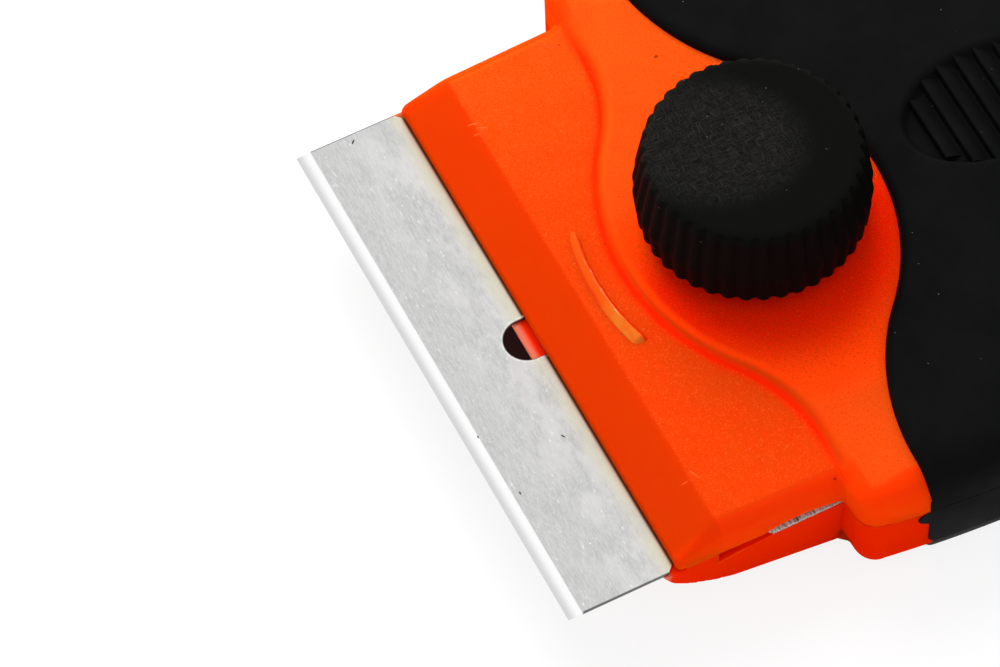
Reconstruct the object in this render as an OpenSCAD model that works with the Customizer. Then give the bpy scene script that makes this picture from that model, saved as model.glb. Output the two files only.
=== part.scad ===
// Razor blade scraper: a wide steel blade clamped between two moulded jaws.
// The two halves meet in the plane of the blade, pivot on a pin at the tail and are drawn
// together by a fluted knob, whose stud runs down into a captive nut.
// Lengths are in millimetres. Pieces are drawn with X from the cutting edge to the tail and
// Z from the blade's mid-plane, and place() then stands the tool on the middle of its underside.

/* [Blade] */
// Width of the blade along its cutting edge
blade_w = 39; // [37:0.5:40]
// Depth of the blade from the cutting edge to its back
blade_depth = 21; // [20:0.25:21.25]
// Thickness of the blade's steel
blade_t = 0.25; // [0.2:0.05:0.4]
// Width of the ground bevel behind the cutting edge
grind_w = 1; // [0.5:0.1:1.5]
// Flat left on the cutting edge
edge_flat = 0.04; // [0.02:0.01:0.08]
// Width of the locating slot
slot_w = 3.1; // [2.8:0.1:3.6]
// Distance from the cutting edge to the slot's round end
slot_x = 5.5; // [5:0.25:6]
// Distance from the cutting edge to the notches in the short ends
notch_x = 7.1; // [6.8:0.1:7.3]
// Depth of those notches
notch_depth = 1.2; // [1:0.1:1.5]
// How far the ears behind the notches reach out past the edge's ends
ear_out = 0.45; // [0.2:0.05:0.5]

/* [Upper jaw] */
// Distance from the cutting edge to the lip of the upper jaw
lip_x = 7.66; // [7.4:0.02:8]
// Height of the lip's top edge
lip_h = 0.78; // [0.6:0.02:1]
// Distance from the cutting edge to the ridge above the bevel
ridge_x = 10.87; // [10.2:0.01:11.5]
// Height of the ridge and of the flat behind it
ridge_h = 2.55; // [2.3:0.05:2.8]
// Radius of the lip's corners seen from above
lip_r = 0.7; // [0.4:0.1:1]
// Radius that rounds the jaw's top along its sides, from the ridge back
jaw_r = 1.5; // [1:0.1:1.8]
// How far each side of the jaw spreads towards the collar
jaw_flare = 0.65; // [0.3:0.05:1]
// Length of the gate scar on the flat
scar_l = 10; // [8:0.5:11]
// Width of the gate scar
scar_w = 0.9; // [0.6:0.1:1.2]
// Height of the gate scar
scar_h = 0.35; // [0.2:0.05:0.5]
// Distance from the cutting edge to the middle of the gate scar
scar_x = 12.1; // [11.9:0.05:12.4]

/* [Lower jaw] */
// Distance from the cutting edge to the tip of the lower jaw
tip_x = 6.8; // [6.6:0.05:7.2]
// Thickness of that tip
tip_t = 0.4; // [0.3:0.05:0.6]
// Distance from the cutting edge to the chin
chin_x = 7.44; // [7.3:0.02:7.8]
// Depth of the chin
chin_h = 1.65; // [1.3:0.05:1.9]
// Distance from the cutting edge to the heel of the chin's bevel
heel_x = 11.3; // [10.8:0.1:12]
// Depth of that heel
heel_h = 4.6; // [4.2:0.1:5]
// Draft of the lower jaw's sides from the top to the bottom
jaw_draft = 0.6; // [0.3:0.05:0.9]
// Depth of the thumb notch under each end of the blade, at its front
ledge_h = 0.95; // [0.8:0.05:1.4]
// Width of that notch
ledge_w = 1.5; // [1.1:0.1:1.8]
// Distance from the cutting edge to the front of that notch
ledge_x = 10.5; // [10:0.1:11]
// Length over which the notch runs out towards the collar
ledge_l = 4.6; // [3.5:0.1:5.5]
// Height of the post that locates the blade
post_h = 1; // [0.8:0.1:1.2]
// Distance from the cutting edge to the front of that post
post_x = 10.4; // [10.2:0.1:10.8]

/* [Collar and boss] */
// Distance from the cutting edge to the collar's front face
collar_x = 19.4; // [19.2:0.1:19.8]
// Half width of the collar behind its front corners
collar_half = 22.8; // [22.4:0.1:23.2]
// Angle at which the collar's sides spread there
collar_flare = 8.5; // [4:0.5:10]
// Radius of the collar's front corners seen from above
corner_r = 1.6; // [1.4:0.1:2]
// Height of the boss and collar above the blade
boss_h = 3.3; // [3.1:0.05:3.4]
// Depth of the collar below the blade
collar_depth = 5.95; // [5.7:0.05:6.1]
// Distance from the cutting edge to the nose of the boss
boss_x = 13.95; // [13.7:0.05:14.4]
// Radius of the boss's nose
boss_nose_r = 16.2; // [15.5:0.1:17]
// Radius of the reverse curve beside the nose
boss_sweep_r = 11.2; // [10:0.2:12.2]
// Run of the soft slope round the boss
boss_soft = 0.8; // [0.6:0.1:1.2]
// Rise of that slope
boss_rise = 1; // [0.8:0.1:1.2]
// Radius that rounds the collar's upper and lower edges
edge_r = 2.5; // [2.2:0.1:2.5]

/* [Handle] */
// Length from the cutting edge to the tail
total_len = 100; // [96:1:110]
// Distance from the cutting edge to the handle's widest place
belly_x = 36; // [34:1:40]
// Half width there
belly_half = 23.9; // [23.4:0.1:24.6]
// Distance from the tail to the tail's shoulder
shoulder_back = 16; // [14:1:20]
// Half width of the shoulder
shoulder_half = 16.5; // [15:0.5:18]
// Half width of the flat at the tail
tail_flat = 4.5; // [3.5:0.5:6]
// Height of the grip's top above the blade
grip_top = 3.9; // [3.8:0.05:4.1]
// Extra height of the palm swell
swell_h = 1.2; // [0.6:0.1:2]
// Crown across the grip's top
crown_h = 0.1; // [0:0.02:0.14]
// Depth of the grip's underside below the blade
grip_depth = 6.3; // [6.2:0.05:6.6]
// Thickness of the soft grip over the shells
skin_t = 1.3; // [1.1:0.05:1.4]
// Distance from the cutting edge to the grip's front edge at the sides
bell_x = 23.8; // [23.6:0.1:24.2]
// Distance from the cutting edge to the grip's front edge on the centre line
bell_nose_x = 32.2; // [31.8:0.1:32.8]
// Radius of the grip's front edge on the centre line
bell_nose_r = 15.2; // [14.5:0.1:15.8]
// Radius of the reverse curve beside it
bell_sweep_r = 16; // [14:0.5:17]
// Wall left round the hollows in the two shells
wall = 1.7; // [1.4:0.1:1.8]
// Gap along the parting line between the halves
part_gap = 0.06; // [0.04:0.01:0.1]

/* [Thumb pad] */
// Distance from the cutting edge to the middle of the thumb pad
pad_x = 41.2; // [40.5:0.1:42]
// Length of the pad
pad_l = 11.8; // [10:0.2:12.4]
// Width of the pad
pad_w = 7.4; // [6:0.1:8.5]
// Depth of the pad below the grip's top
pad_depth = 0.95; // [0.8:0.05:1]
// Run of the slope round the pad
pad_rim = 0.8; // [0.5:0.1:1.2]
// Spacing of the pad's ribs
rib_pitch = 1.4; // [1.2:0.05:1.6]
// Height of the ribs
rib_h = 0.75; // [0.5:0.05:0.8]

/* [Knob and clamp] */
// Distance from the blade's back to the knob's axis
knob_back = 2.45; // [2.4:0.05:2.8]
// Radius of the knob at its widest, a third of the way up
knob_r = 7.75; // [7.2:0.05:8]
// Radius of the knob's foot
knob_foot_r = 7.55; // [7:0.05:7.6]
// Radius of the knob's top under the rounded rim
knob_top_r = 7.25; // [6.8:0.05:7.3]
// Height of the knob
knob_h = 6.25; // [5.8:0.05:6.6]
// Radius of the knob's rounded rim
rim_r = 1; // [0.7:0.1:1.2]
// Number of flutes round the knob
flute_count = 40; // [32:1:44]
// Radius of each flute
flute_r = 0.42; // [0.3:0.02:0.5]
// Depth that the flutes' axes stand outside the knob's straight side
flute_sink = 0.12; // [0.05:0.01:0.2]
// Thickness of the knob over the stud's head
knob_cap_t = 1; // [0.8:0.1:1.2]
// Depth of the hollow in the knob's underside
knob_hollow = 2; // [1.4:0.1:2.2]
// Radius of the hub in that hollow
hub_r = 4.6; // [4.4:0.1:5]
// Radius of the stud
stud_r = 2; // [1.9:0.05:2]
// Depth of its thread, which is drawn at the root
thread_depth = 0.35; // [0.3:0.05:0.4]
// Width across the flats of the stud's head and of the nut
nut_af = 7; // [6.6:0.1:7.2]
// Thickness of the nut
nut_t = 3.2; // [2.8:0.1:3.3]
// Thickness of the stud's head, moulded into the knob
head_t = 2.2; // [2:0.1:2.4]
// Outer radius of the washer under the knob
washer_r = 4.5; // [4.3:0.1:4.6]
// Thickness of that washer
washer_t = 0.8; // [0.6:0.1:1]
// Height of the seat that carries the washer, above the boss
seat_h = 0.55; // [0.4:0.05:0.7]
// Outer radius of the clip that keeps the stud in the upper half
clip_r = 3.6; // [3.4:0.1:3.8]
// Thickness of that clip
clip_t = 0.6; // [0.5:0.05:0.7]

/* [Tail pivot] */
// Distance from the tail to the pivot's axis
pivot_back = 6; // [5.5:0.25:7]
// Depth of the pivot's axis below the blade plane
pivot_depth = 1.9; // [1.8:0.05:2]
// Radius of the pivot pin
pin_r = 1; // [0.9:0.05:1]
// Length of the pivot pin
pin_l = 16; // [14:0.5:18]
// Width of the upper half's knuckle on the pin
knuckle_w = 8; // [6:0.5:9]
// Wall of that knuckle round the pin
knuckle_wall = 0.9; // [0.8:0.05:0.95]
// Distance from the tail to the hanging hole
hang_back = 16; // [15:0.5:18]
// Radius of the hanging hole
hang_r = 3; // [2.5:0.25:3.5]

/* [Hidden] */

$fn = 64;
// How far each cut runs past the face that it opens, and joined bodies run into one another
overrun = 0.6;
// Clearance of pieces that are dropped in or pass through one another
fit_gap = 0.2;
// Clearance round what swings with the upper half
swing_gap = 0.5;
// Running clearance of the stud in its washer and of the knuckle on its pin
run_gap = 0.05;
// Film of air over the blade, so that the closed jaw rests on it without biting in
blade_film = 0.02;
// Axial play of the clip under the upper half
clip_play = 0.4;
// Depth of the groove in the stud that holds the clip
groove_depth = 0.4;
// How far the parting faces are eased behind the pivot
tail_ease = 0.4;
// Opening of the clip
clip_mouth = 2.6;
// Softness of the lower collar's front edge
chin_soft = 1.6;
// Margin of the washer's seat beyond the washer
seat_margin = 0.6;
// Wall of the knob's skirt
skirt_wall = 1.5;

orange = [1, 0.33, 0.07];
black = [0.07, 0.07, 0.07];
steel = [0.78, 0.78, 0.8];

half_t = blade_t / 2;
lip_half = blade_w / 2;
ear_half = lip_half + ear_out;
notch_back = blade_depth - notch_x;
jaw_half = lip_half + jaw_flare;
jaw_end = collar_x + corner_r;
upper_face = half_t + blade_film;
part_z = part_gap / 2;
seat_z = boss_h + seat_h;
seat_r = washer_r + seat_margin;
knob_z = seat_z + washer_t;
knob_x = blade_depth + knob_back;
head_z = knob_z + knob_h - knob_cap_t - head_t;
// The nut lies just inside the underside, and the stud ends just inside the nut
nut_z = fit_gap - collar_depth;
stud_end = nut_z + fit_gap;
pivot_x = total_len - pivot_back;
hang_x = total_len - hang_back;
knuckle_r = pin_r + knuckle_wall;
// The plate of the upper half that the clip hooks under
deck_z = boss_h / 2;
clip_z = deck_z - clip_play - clip_t;
hollow_x = bell_nose_x + wall;
hollow_end = hang_x - hang_r - wall;

// Curves: points with their outward normals, as [x, y, normal x, normal y]
curve_steps = 10;
function mix(a, b, t) = a + (b - a) * t;
function cubic(p, t) =
    p[0] * pow(1 - t, 3) + p[1] * 3 * t * pow(1 - t, 2) + p[2] * 3 * t * t * (1 - t) + p[3] * pow(t, 3);
function slope(p, t) =
    (p[1] - p[0]) * pow(1 - t, 2) + (p[2] - p[1]) * 2 * t * (1 - t) + (p[3] - p[2]) * t * t;
function curve_point(p, t) = let (d = slope(p, t) / norm(slope(p, t))) concat(cubic(p, t), [-d[1], d[0]]);
function along(p, first = 0) = [for (i = [first:curve_steps]) curve_point(p, i / curve_steps)];

// One side of the handle from the collar to the tail: three curves that join without a corner
collar_lead_shares = [0.25, 0.55];
waist_lead_shares = [0.4, 0.55];
tail_lead_shares = [0.55, 0.6];
side_x = collar_x + corner_r * (1 - sin(collar_flare));
collar_lead = collar_lead_shares[0] * (belly_x - side_x);
shoulder_x = total_len - shoulder_back;
shoulder_fall = (belly_half - shoulder_half) / (shoulder_x - belly_x);
waist_lead = mix(belly_x, shoulder_x, waist_lead_shares[1]);
tail_lead = tail_lead_shares[0] * shoulder_back;
collar_curve = [
    [side_x, collar_half],
    [side_x + collar_lead, collar_half + collar_lead * tan(collar_flare)],
    [mix(side_x, belly_x, collar_lead_shares[1]), belly_half],
    [belly_x, belly_half]
];
waist_curve = [
    [belly_x, belly_half],
    [mix(belly_x, shoulder_x, waist_lead_shares[0]), belly_half],
    [waist_lead, shoulder_half + shoulder_fall * (shoulder_x - waist_lead)],
    [shoulder_x, shoulder_half]
];
tail_curve = [
    [shoulder_x, shoulder_half],
    [shoulder_x + tail_lead, shoulder_half - shoulder_fall * tail_lead],
    [total_len, mix(tail_flat, shoulder_half, tail_lead_shares[1])],
    [total_len, tail_flat]
];
handle_side = concat(along(collar_curve), along(waist_curve, 1), along(tail_curve, 1));
function inset_side(inset) = [for (s = handle_side) [s[0] - inset * s[2], s[1] - inset * s[3]]];

// Front edges that run from a round nose on the centre line through a reverse curve to a straight
function sweep_mid(way, front, nose, nose_r, sweep_r) =
    sqrt(pow(nose_r + sweep_r, 2) - pow(front + way * sweep_r - nose + way * nose_r, 2));
function sweep_x(y, front, nose, nose_r, sweep_r) = let (
        way = sign(nose - front),
        mid = sweep_mid(way, front, nose, nose_r, sweep_r),
        turn = mid * nose_r / (nose_r + sweep_r),
        a = abs(y))
    a >= mid ? front
    : a >= turn ? front + way * (sweep_r - sqrt(pow(sweep_r, 2) - pow(mid - a, 2)))
    : nose - way * (nose_r - sqrt(pow(nose_r, 2) - a * a));
function boss_front(y) = sweep_x(y, collar_x, boss_x, boss_nose_r, boss_sweep_r);
function bell_front(y) = sweep_x(y, bell_x, bell_nose_x, bell_nose_r, bell_sweep_r);
front_steps = 40;

// Palm swell of the handle's top, and the fall that rounds the tail of a form set in by inset
swell_x = pad_x + pad_l / 2;
function swell(x) = let (t = (x - swell_x) / (total_len - swell_x))
    t <= 0 ? 0 : swell_h * pow(sin(180 * min(t, 1)), 2);
function tail_drop(x, inset) = let (
        r = edge_r - inset,
        d = x - total_len + edge_r)
    d <= 0 ? 0 : r - sqrt(max(0, r * r - d * d));

// A cross-section of a handle half, from one parting edge over the top to the other
arc_turns = [0, 22.5, 45, 67.5, 90];
top_shares = [0.66, 0.33];
function half_section(w, top, crown, r) = concat(
    [[w, part_z]],
    [for (a = arc_turns) [w - r + r * cos(a), top - r + r * sin(a)]],
    [for (s = top_shares) [(w - r) * s, top + crown * (1 - s * s)]]);
function section(w, top, crown, r) = let (half = half_section(w, top, crown, r)) concat(
    half, [[0, top + crown]], [for (i = [len(half) - 1:-1:0]) [-half[i][0], half[i][1]]]);

// A solid skinned over rings of equally many points, closed flat at both ends
module skin(rings) {
    n = len(rings);
    m = len(rings[0]);
    polyhedron(
        [for (r = rings) each r],
        concat(
            [[for (j = [0:m - 1]) j], [for (j = [m - 1:-1:0]) (n - 1) * m + j]],
            [
                for (i = [0:n - 2], j = [0:m - 1])
                    each let (k = (j + 1) % m, a = i * m, b = a + m)
                        [[a + j, b + j, a + k], [a + k, b + j, b + k]]
            ]));
}

// A handle half lofted through such sections and set in all round by inset
module handle_half(top, swell_share, crown, inset) {
    skin([
        for (s = inset_side(inset))
            let (h = top + swell_share * swell(s[0]) - inset - tail_drop(s[0], inset))
            [for (q = section(s[1], h, crown, min(edge_r - inset, h - part_z))) [s[0], q[0], q[1]]]
    ]);
}

// Plan of a collar block: its front edge, front corners and sides, with normals
corner_steps = 5;
function mirrored(pts) = [for (i = [len(pts) - 1:-1:0]) [pts[i][0], -pts[i][1], pts[i][2], -pts[i][3]]];
corner_y = collar_half - corner_r * cos(collar_flare);
function corner_point(a) =
    [collar_x + corner_r * (1 - cos(a)), corner_y + corner_r * sin(a), -cos(a), sin(a)];
function with_normals(pts) = [
    for (i = [0:len(pts) - 1])
        let (d = pts[min(i + 1, len(pts) - 1)] - pts[max(i - 1, 0)], u = d / norm(d))
        [pts[i][0], pts[i][1], -u[1], u[0]]
];
function collar_plan(front) = let (
        span = 2 * corner_y / front_steps,
        across = [for (i = [-front_steps / 2:front_steps / 2]) [front(span * i), span * i]],
        corner = [for (i = [1:corner_steps]) corner_point((90 - collar_flare) * i / corner_steps)],
        side = [for (i = [1:curve_steps]) handle_side[i]])
    concat(mirrored(concat(corner, side)), with_normals(across), corner, side);

// A block on that plan: its edge is rounded softly along the front and fully along the sides
ring_turns = [90, 72, 54, 36, 18, 0];
soft_from_share = 0.75;
corner_round_share = 0.9;
function clamped(t) = max(0, min(1, t));
function side_share(y) = clamped((abs(y) / corner_y - soft_from_share) / (1 - soft_from_share));
// The rounding is kept inside the front corners and grows to its full radius at the grip
function side_r(x) = mix(corner_round_share * corner_r, edge_r, clamped((x - side_x) / (bell_x - side_x)));
module collar_block(front, top, soft, rise) {
    plan = collar_plan(front);
    skin(concat(
        [
            for (a = ring_turns)
                [
                    for (p = plan)
                        let (
                            run = mix(soft, side_r(p[0]), side_share(p[1])) * (1 - cos(a)),
                            fall = mix(rise, side_r(p[0]), side_share(p[1])) * (1 - sin(a)))
                        [p[0] - run * p[2], p[1] - run * p[3], top - fall]
                ]
        ],
        [[for (p = plan) [p[0], p[1], part_z]]]));
}

// The upper jaw: a bevel from the lip up to the ridge and a flat behind it, with rounded sides
lip_turns = [0, 30, 60, 90];
function jaw_w(x) = mix(lip_half, jaw_half, (x - lip_x) / (jaw_end - lip_x));
function jaw_top(x) = mix(lip_h, ridge_h, clamped((x - lip_x) / (ridge_x - lip_x)));
function jaw_ring(x, inset) = let (h = jaw_top(x))
    [for (q = section(jaw_w(x) - inset, h, 0, jaw_r * (h - part_z) / (ridge_h - part_z))) [x, q[0], q[1]]];
module upper_jaw() {
    skin(concat(
        [for (a = lip_turns) jaw_ring(lip_x + lip_r * (1 - cos(a)), lip_r * (1 - sin(a)))],
        [jaw_ring(ridge_x, 0), jaw_ring(jaw_end, 0)]));
}

// The lower jaw as a wedge across the tool: each profile point is [x, half width, z]
module lower_jaw(profile) {
    m = len(profile);
    polyhedron(
        concat(profile, [for (p = profile) [p[0], -p[1], p[2]]]),
        concat(
            [for (i = [0:m - 1]) let (k = (i + 1) % m) [i, m + i, m + k, k]],
            [for (i = [1:m - 2]) each [[0, i, i + 1], [m, m + i + 1, m + i]]]));
}

// Everything behind the front edge of the soft grip
module behind_bell() {
    span = 2 * (belly_half + overrun);
    edge = [for (i = [0:front_steps]) let (y = span * (i / front_steps - 0.5)) [bell_front(y), y]];
    linear_extrude(2 * (grip_depth + swell_h), center = true)
        polygon(concat(edge, [[total_len + overrun, span / 2], [total_len + overrun, -span / 2]]));
}

module stadium(x0, x1, w) {
    for (x = [x0 + w / 2, x1 - w / 2]) translate([x, 0]) circle(d = w);
    translate([x0 + w / 2, -w / 2]) square([x1 - x0 - w, w]);
}

module hex(z, af, h) {
    translate([knob_x, 0, z]) cylinder(d = af / cos(30), h = h, $fn = 6);
}

module knob_bore(z, r, h) {
    translate([knob_x, 0, z]) cylinder(r = r, h = h);
}

module pin_bar(r, l) {
    translate([pivot_x, 0, -pivot_depth]) rotate([90, 0, 0]) cylinder(r = r, h = l, center = true);
}

module hang_hole() {
    translate([hang_x, 0, 0]) cylinder(r = hang_r, h = 2 * (grip_depth + swell_h), center = true);
}

// Two hollows with a cross rib between them, from the parting face to a depth
module hollows(depth) {
    rib_x = (hollow_x + hollow_end) / 2;
    side = inset_side(skin_t + wall);
    linear_extrude(depth)
        intersection() {
            polygon(concat(side, [for (i = [len(side) - 1:-1:0]) [side[i][0], -side[i][1]]]));
            for (x = [[hollow_x, rib_x - wall / 2], [rib_x + wall / 2, hollow_end]])
                translate([x[0], -belly_half]) square([x[1] - x[0], 2 * belly_half]);
        }
}

// Room for the blade between the two jaws, open at the sides where its ears look out
module blade_bed() {
    for (room = [[0, lip_half], [notch_back - fit_gap, ear_half]])
        translate([room[0], -room[1] - fit_gap, -half_t])
            cube([blade_depth + fit_gap - room[0], 2 * (room[1] + fit_gap), half_t + upper_face]);
}

// Notch that bares each end of the blade, deepest at its front
module thumb_notches() {
    for (side = [0, 1]) mirror([0, side])
        translate([ledge_x, ear_half + overrun, -half_t])
            rotate([90, 0, 0]) linear_extrude(ear_out + overrun + ledge_w)
                polygon([[0, -ledge_h], [ledge_l, 0], [ledge_l, blade_t], [0, blade_t]]);
}

// Below the tail the parting faces are eased, so that the upper half can tip on its pin
module tail_relief() {
    translate([pivot_x, -belly_half, -part_z - tail_ease])
        cube([pivot_back + overrun, 2 * belly_half, part_gap + tail_ease]);
}

// Room for the upper half's knuckle in the lower half
module knuckle_room() {
    room = knuckle_r + swing_gap;
    translate([pivot_x - room, -knuckle_w / 2 - fit_gap, -pivot_depth - room])
        cube([2 * room, knuckle_w + 2 * fit_gap, pivot_depth + room]);
}

module place() {
    translate([-total_len / 2, 0, grip_depth]) children();
}

module blade_plan() {
    difference() {
        union() {
            translate([0, -lip_half]) square([blade_depth, blade_w]);
            translate([notch_back, -ear_half]) square([notch_x, 2 * ear_half]);
        }
        stadium(slot_x, blade_depth - slot_x, slot_w);
        for (side = [0, 1]) mirror([0, side])
            polygon([
                [notch_x - overrun, lip_half + overrun],
                [notch_x + notch_depth, lip_half - notch_depth],
                [notch_back - notch_depth, lip_half - notch_depth],
                [notch_back + overrun, lip_half + overrun]
            ]);
    }
}

module blade() {
    fall = (half_t - edge_flat / 2) / grind_w;
    color(steel) place() difference() {
        translate([0, 0, -half_t]) linear_extrude(blade_t) blade_plan();
        for (side = [0, 1]) mirror([0, 0, side]) rotate([90, 0, 0])
            linear_extrude(2 * (ear_half + overrun), center = true)
                polygon([
                    [-overrun, edge_flat / 2 - fall * overrun],
                    [grind_w + overrun, half_t + fall * overrun],
                    [-overrun, half_t + overrun]
                ]);
    }
}

// Post and end lugs that hold the blade by its slot and notches
module blade_keys() {
    slot_end = blade_depth - slot_x - fit_gap;
    inner = lip_half - notch_depth + fit_gap;
    translate([0, 0, -half_t - overrun]) {
        linear_extrude(overrun + half_t + post_h) stadium(post_x, slot_end, slot_w - 2 * fit_gap);
        linear_extrude(overrun + blade_t) for (side = [0, 1]) mirror([0, side])
            polygon([
                [notch_x + notch_depth, lip_half],
                [notch_x + notch_depth + fit_gap, inner],
                [ledge_x, inner],
                [ledge_x, lip_half]
            ]);
    }
}

module lower_shell() {
    color(orange) place() difference() {
        union() {
            difference() {
                union() {
                    lower_jaw([
                        [jaw_end, jaw_half, -part_z], [tip_x, lip_half, -part_z],
                        [tip_x, lip_half, -half_t - tip_t], [chin_x, lip_half, -chin_h],
                        [heel_x, lip_half - jaw_draft, -heel_h],
                        [jaw_end, jaw_half - jaw_draft, -collar_depth]
                    ]);
                    difference() {
                        mirror([0, 0, 1])
                            collar_block(function(y) collar_x, collar_depth, chin_soft, chin_soft);
                        behind_bell();
                    }
                    mirror([0, 0, 1]) handle_half(grip_depth, 0, 0, skin_t);
                }
                blade_bed();
                thumb_notches();
            }
            blade_keys();
        }
        knob_bore(-collar_depth, stud_r + swing_gap, collar_depth + overrun);
        hex(-collar_depth - overrun, nut_af + fit_gap, overrun + fit_gap + nut_t);
        mirror([0, 0, 1]) hollows(grip_depth - skin_t - wall);
        knuckle_room();
        pin_bar(pin_r, pin_l);
        hang_hole();
        tail_relief();
    }
}

module lower_grip() {
    color(black) place() difference() {
        intersection() {
            mirror([0, 0, 1]) handle_half(grip_depth, 0, 0, 0);
            behind_bell();
        }
        mirror([0, 0, 1]) handle_half(grip_depth, 0, 0, skin_t);
        hang_hole();
        tail_relief();
    }
}

module clamp_nut() {
    color(steel) place() difference() {
        hex(nut_z, nut_af, nut_t);
        knob_bore(nut_z - overrun, stud_r + run_gap, nut_t + 2 * overrun);
    }
}

module pivot_pin() {
    color(steel) place() pin_bar(pin_r, pin_l);
}

// The raised bead left where the jaw was filled in its mould
module gate_scar() {
    mid_x = boss_x + boss_nose_r;
    half_turn = scar_l / (mid_x - scar_x) * 90 / PI;
    translate([mid_x, 0, ridge_h + scar_h - scar_w / 2])
        rotate([0, 0, 180 - half_turn])
            rotate_extrude(angle = 2 * half_turn)
                translate([mid_x - scar_x, 0]) circle(d = scar_w, $fn = 24);
}

module upper_shell() {
    color(orange) place() difference() {
        union() {
            upper_jaw();
            gate_scar();
            difference() {
                collar_block(function(y) boss_front(y), boss_h, boss_soft, boss_rise);
                behind_bell();
            }
            handle_half(grip_top, 1, crown_h, skin_t);
            knob_bore(boss_h - overrun, seat_r, overrun + seat_h);
            pin_bar(knuckle_r, knuckle_w);
            translate([pivot_x - knuckle_r, -knuckle_w / 2, -pivot_depth])
                cube([2 * knuckle_r, knuckle_w, pivot_depth + overrun]);
        }
        blade_bed();
        translate([0, 0, -post_h])
            linear_extrude(2 * post_h + swing_gap)
                stadium(post_x - swing_gap, blade_depth - slot_x + swing_gap, slot_w + 2 * swing_gap);
        knob_bore(-overrun, stud_r + fit_gap, seat_z + 2 * overrun);
        knob_bore(-overrun, clip_r + swing_gap, deck_z + overrun);
        hollows(grip_top - skin_t - wall);
        pin_bar(pin_r + run_gap, knuckle_w + overrun);
        hang_hole();
    }
}

// Saw-tooth ribs across the floor of the thumb pad
module thumb_ribs() {
    count = floor(pad_l / rib_pitch);
    run = rib_pitch - fit_gap;
    for (i = [0:count - 1])
        translate([pad_x + (i + (1 - count) / 2) * rib_pitch, 0, grip_top - pad_depth])
            rotate([90, 0, 0]) linear_extrude(pad_w + 2 * pad_rim, center = true)
                polygon([[0, -overrun], [0, rib_h], [run, 0], [run, -overrun]]);
}

pad_steps = 40;
function pad_ring(rise) = let (grow = pad_rim * rise / pad_depth) [
    for (i = [0:pad_steps - 1]) let (a = 360 * i / pad_steps)
        [pad_x + (pad_l / 2 + grow) * cos(a), (pad_w / 2 + grow) * sin(a), grip_top - pad_depth + rise]
];
module thumb_dish() {
    skin([pad_ring(0), pad_ring(pad_depth + overrun)]);
}

module upper_grip() {
    color(black) place() difference() {
        intersection() {
            handle_half(grip_top, 1, crown_h, 0);
            behind_bell();
        }
        handle_half(grip_top, 1, crown_h, skin_t);
        difference() {
            thumb_dish();
            thumb_ribs();
        }
        hang_hole();
    }
}

module knob_washer() {
    color(steel) place() difference() {
        knob_bore(seat_z, washer_r, washer_t);
        knob_bore(seat_z - overrun, stud_r + run_gap, washer_t + 2 * overrun);
    }
}

rim_turns = [0, 18, 36, 54, 72, 90];
widest_share = 0.36;
module knob_form() {
    rotate_extrude() polygon(concat(
        [
            [0, 0], [hub_r, 0], [hub_r, knob_hollow], [knob_foot_r - skirt_wall, knob_hollow],
            [knob_foot_r - skirt_wall, 0], [knob_foot_r, 0], [knob_r, widest_share * knob_h]
        ],
        [for (a = rim_turns) [knob_top_r - rim_r * (1 - cos(a)), knob_h - rim_r * (1 - sin(a))]],
        [[0, knob_h]]));
}

module knob() {
    lean = atan((knob_foot_r - knob_top_r) / (knob_h - rim_r));
    color(black) place() difference() {
        translate([knob_x, 0, knob_z]) difference() {
            knob_form();
            for (i = [0:flute_count - 1])
                rotate([0, 0, 360 * i / flute_count]) translate([knob_foot_r + flute_sink, 0, 0])
                    rotate([0, -lean, 0]) translate([0, 0, -overrun])
                        cylinder(r = flute_r, h = knob_h + 2 * overrun, $fn = 16);
        }
        knob_bore(knob_z - overrun, stud_r, head_z - knob_z + overrun);
        hex(head_z, nut_af, head_t);
    }
}

module clamp_stud() {
    color(steel) place() difference() {
        union() {
            knob_bore(stud_end, stud_r - thread_depth, clip_z - stud_end);
            knob_bore(clip_z - clip_t, stud_r, head_z - clip_z + clip_t);
            hex(head_z, nut_af, head_t);
        }
        difference() {
            knob_bore(clip_z, stud_r + overrun, clip_t);
            knob_bore(clip_z - overrun, stud_r - groove_depth, clip_t + 2 * overrun);
        }
    }
}

module stud_clip() {
    color(steel) place() difference() {
        knob_bore(clip_z, clip_r, clip_t);
        knob_bore(clip_z - overrun, stud_r - groove_depth, clip_t + 2 * overrun);
        translate([knob_x, -clip_mouth / 2, clip_z - overrun])
            cube([clip_r + overrun, clip_mouth, clip_t + 2 * overrun]);
    }
}

blade();
lower_shell();
lower_grip();
clamp_nut();
pivot_pin();
upper_shell();
upper_grip();
knob_washer();
knob();
clamp_stud();
stud_clip();
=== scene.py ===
import math

import bmesh
import bpy
import numpy as np
from mathutils import Matrix, Vector


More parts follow.
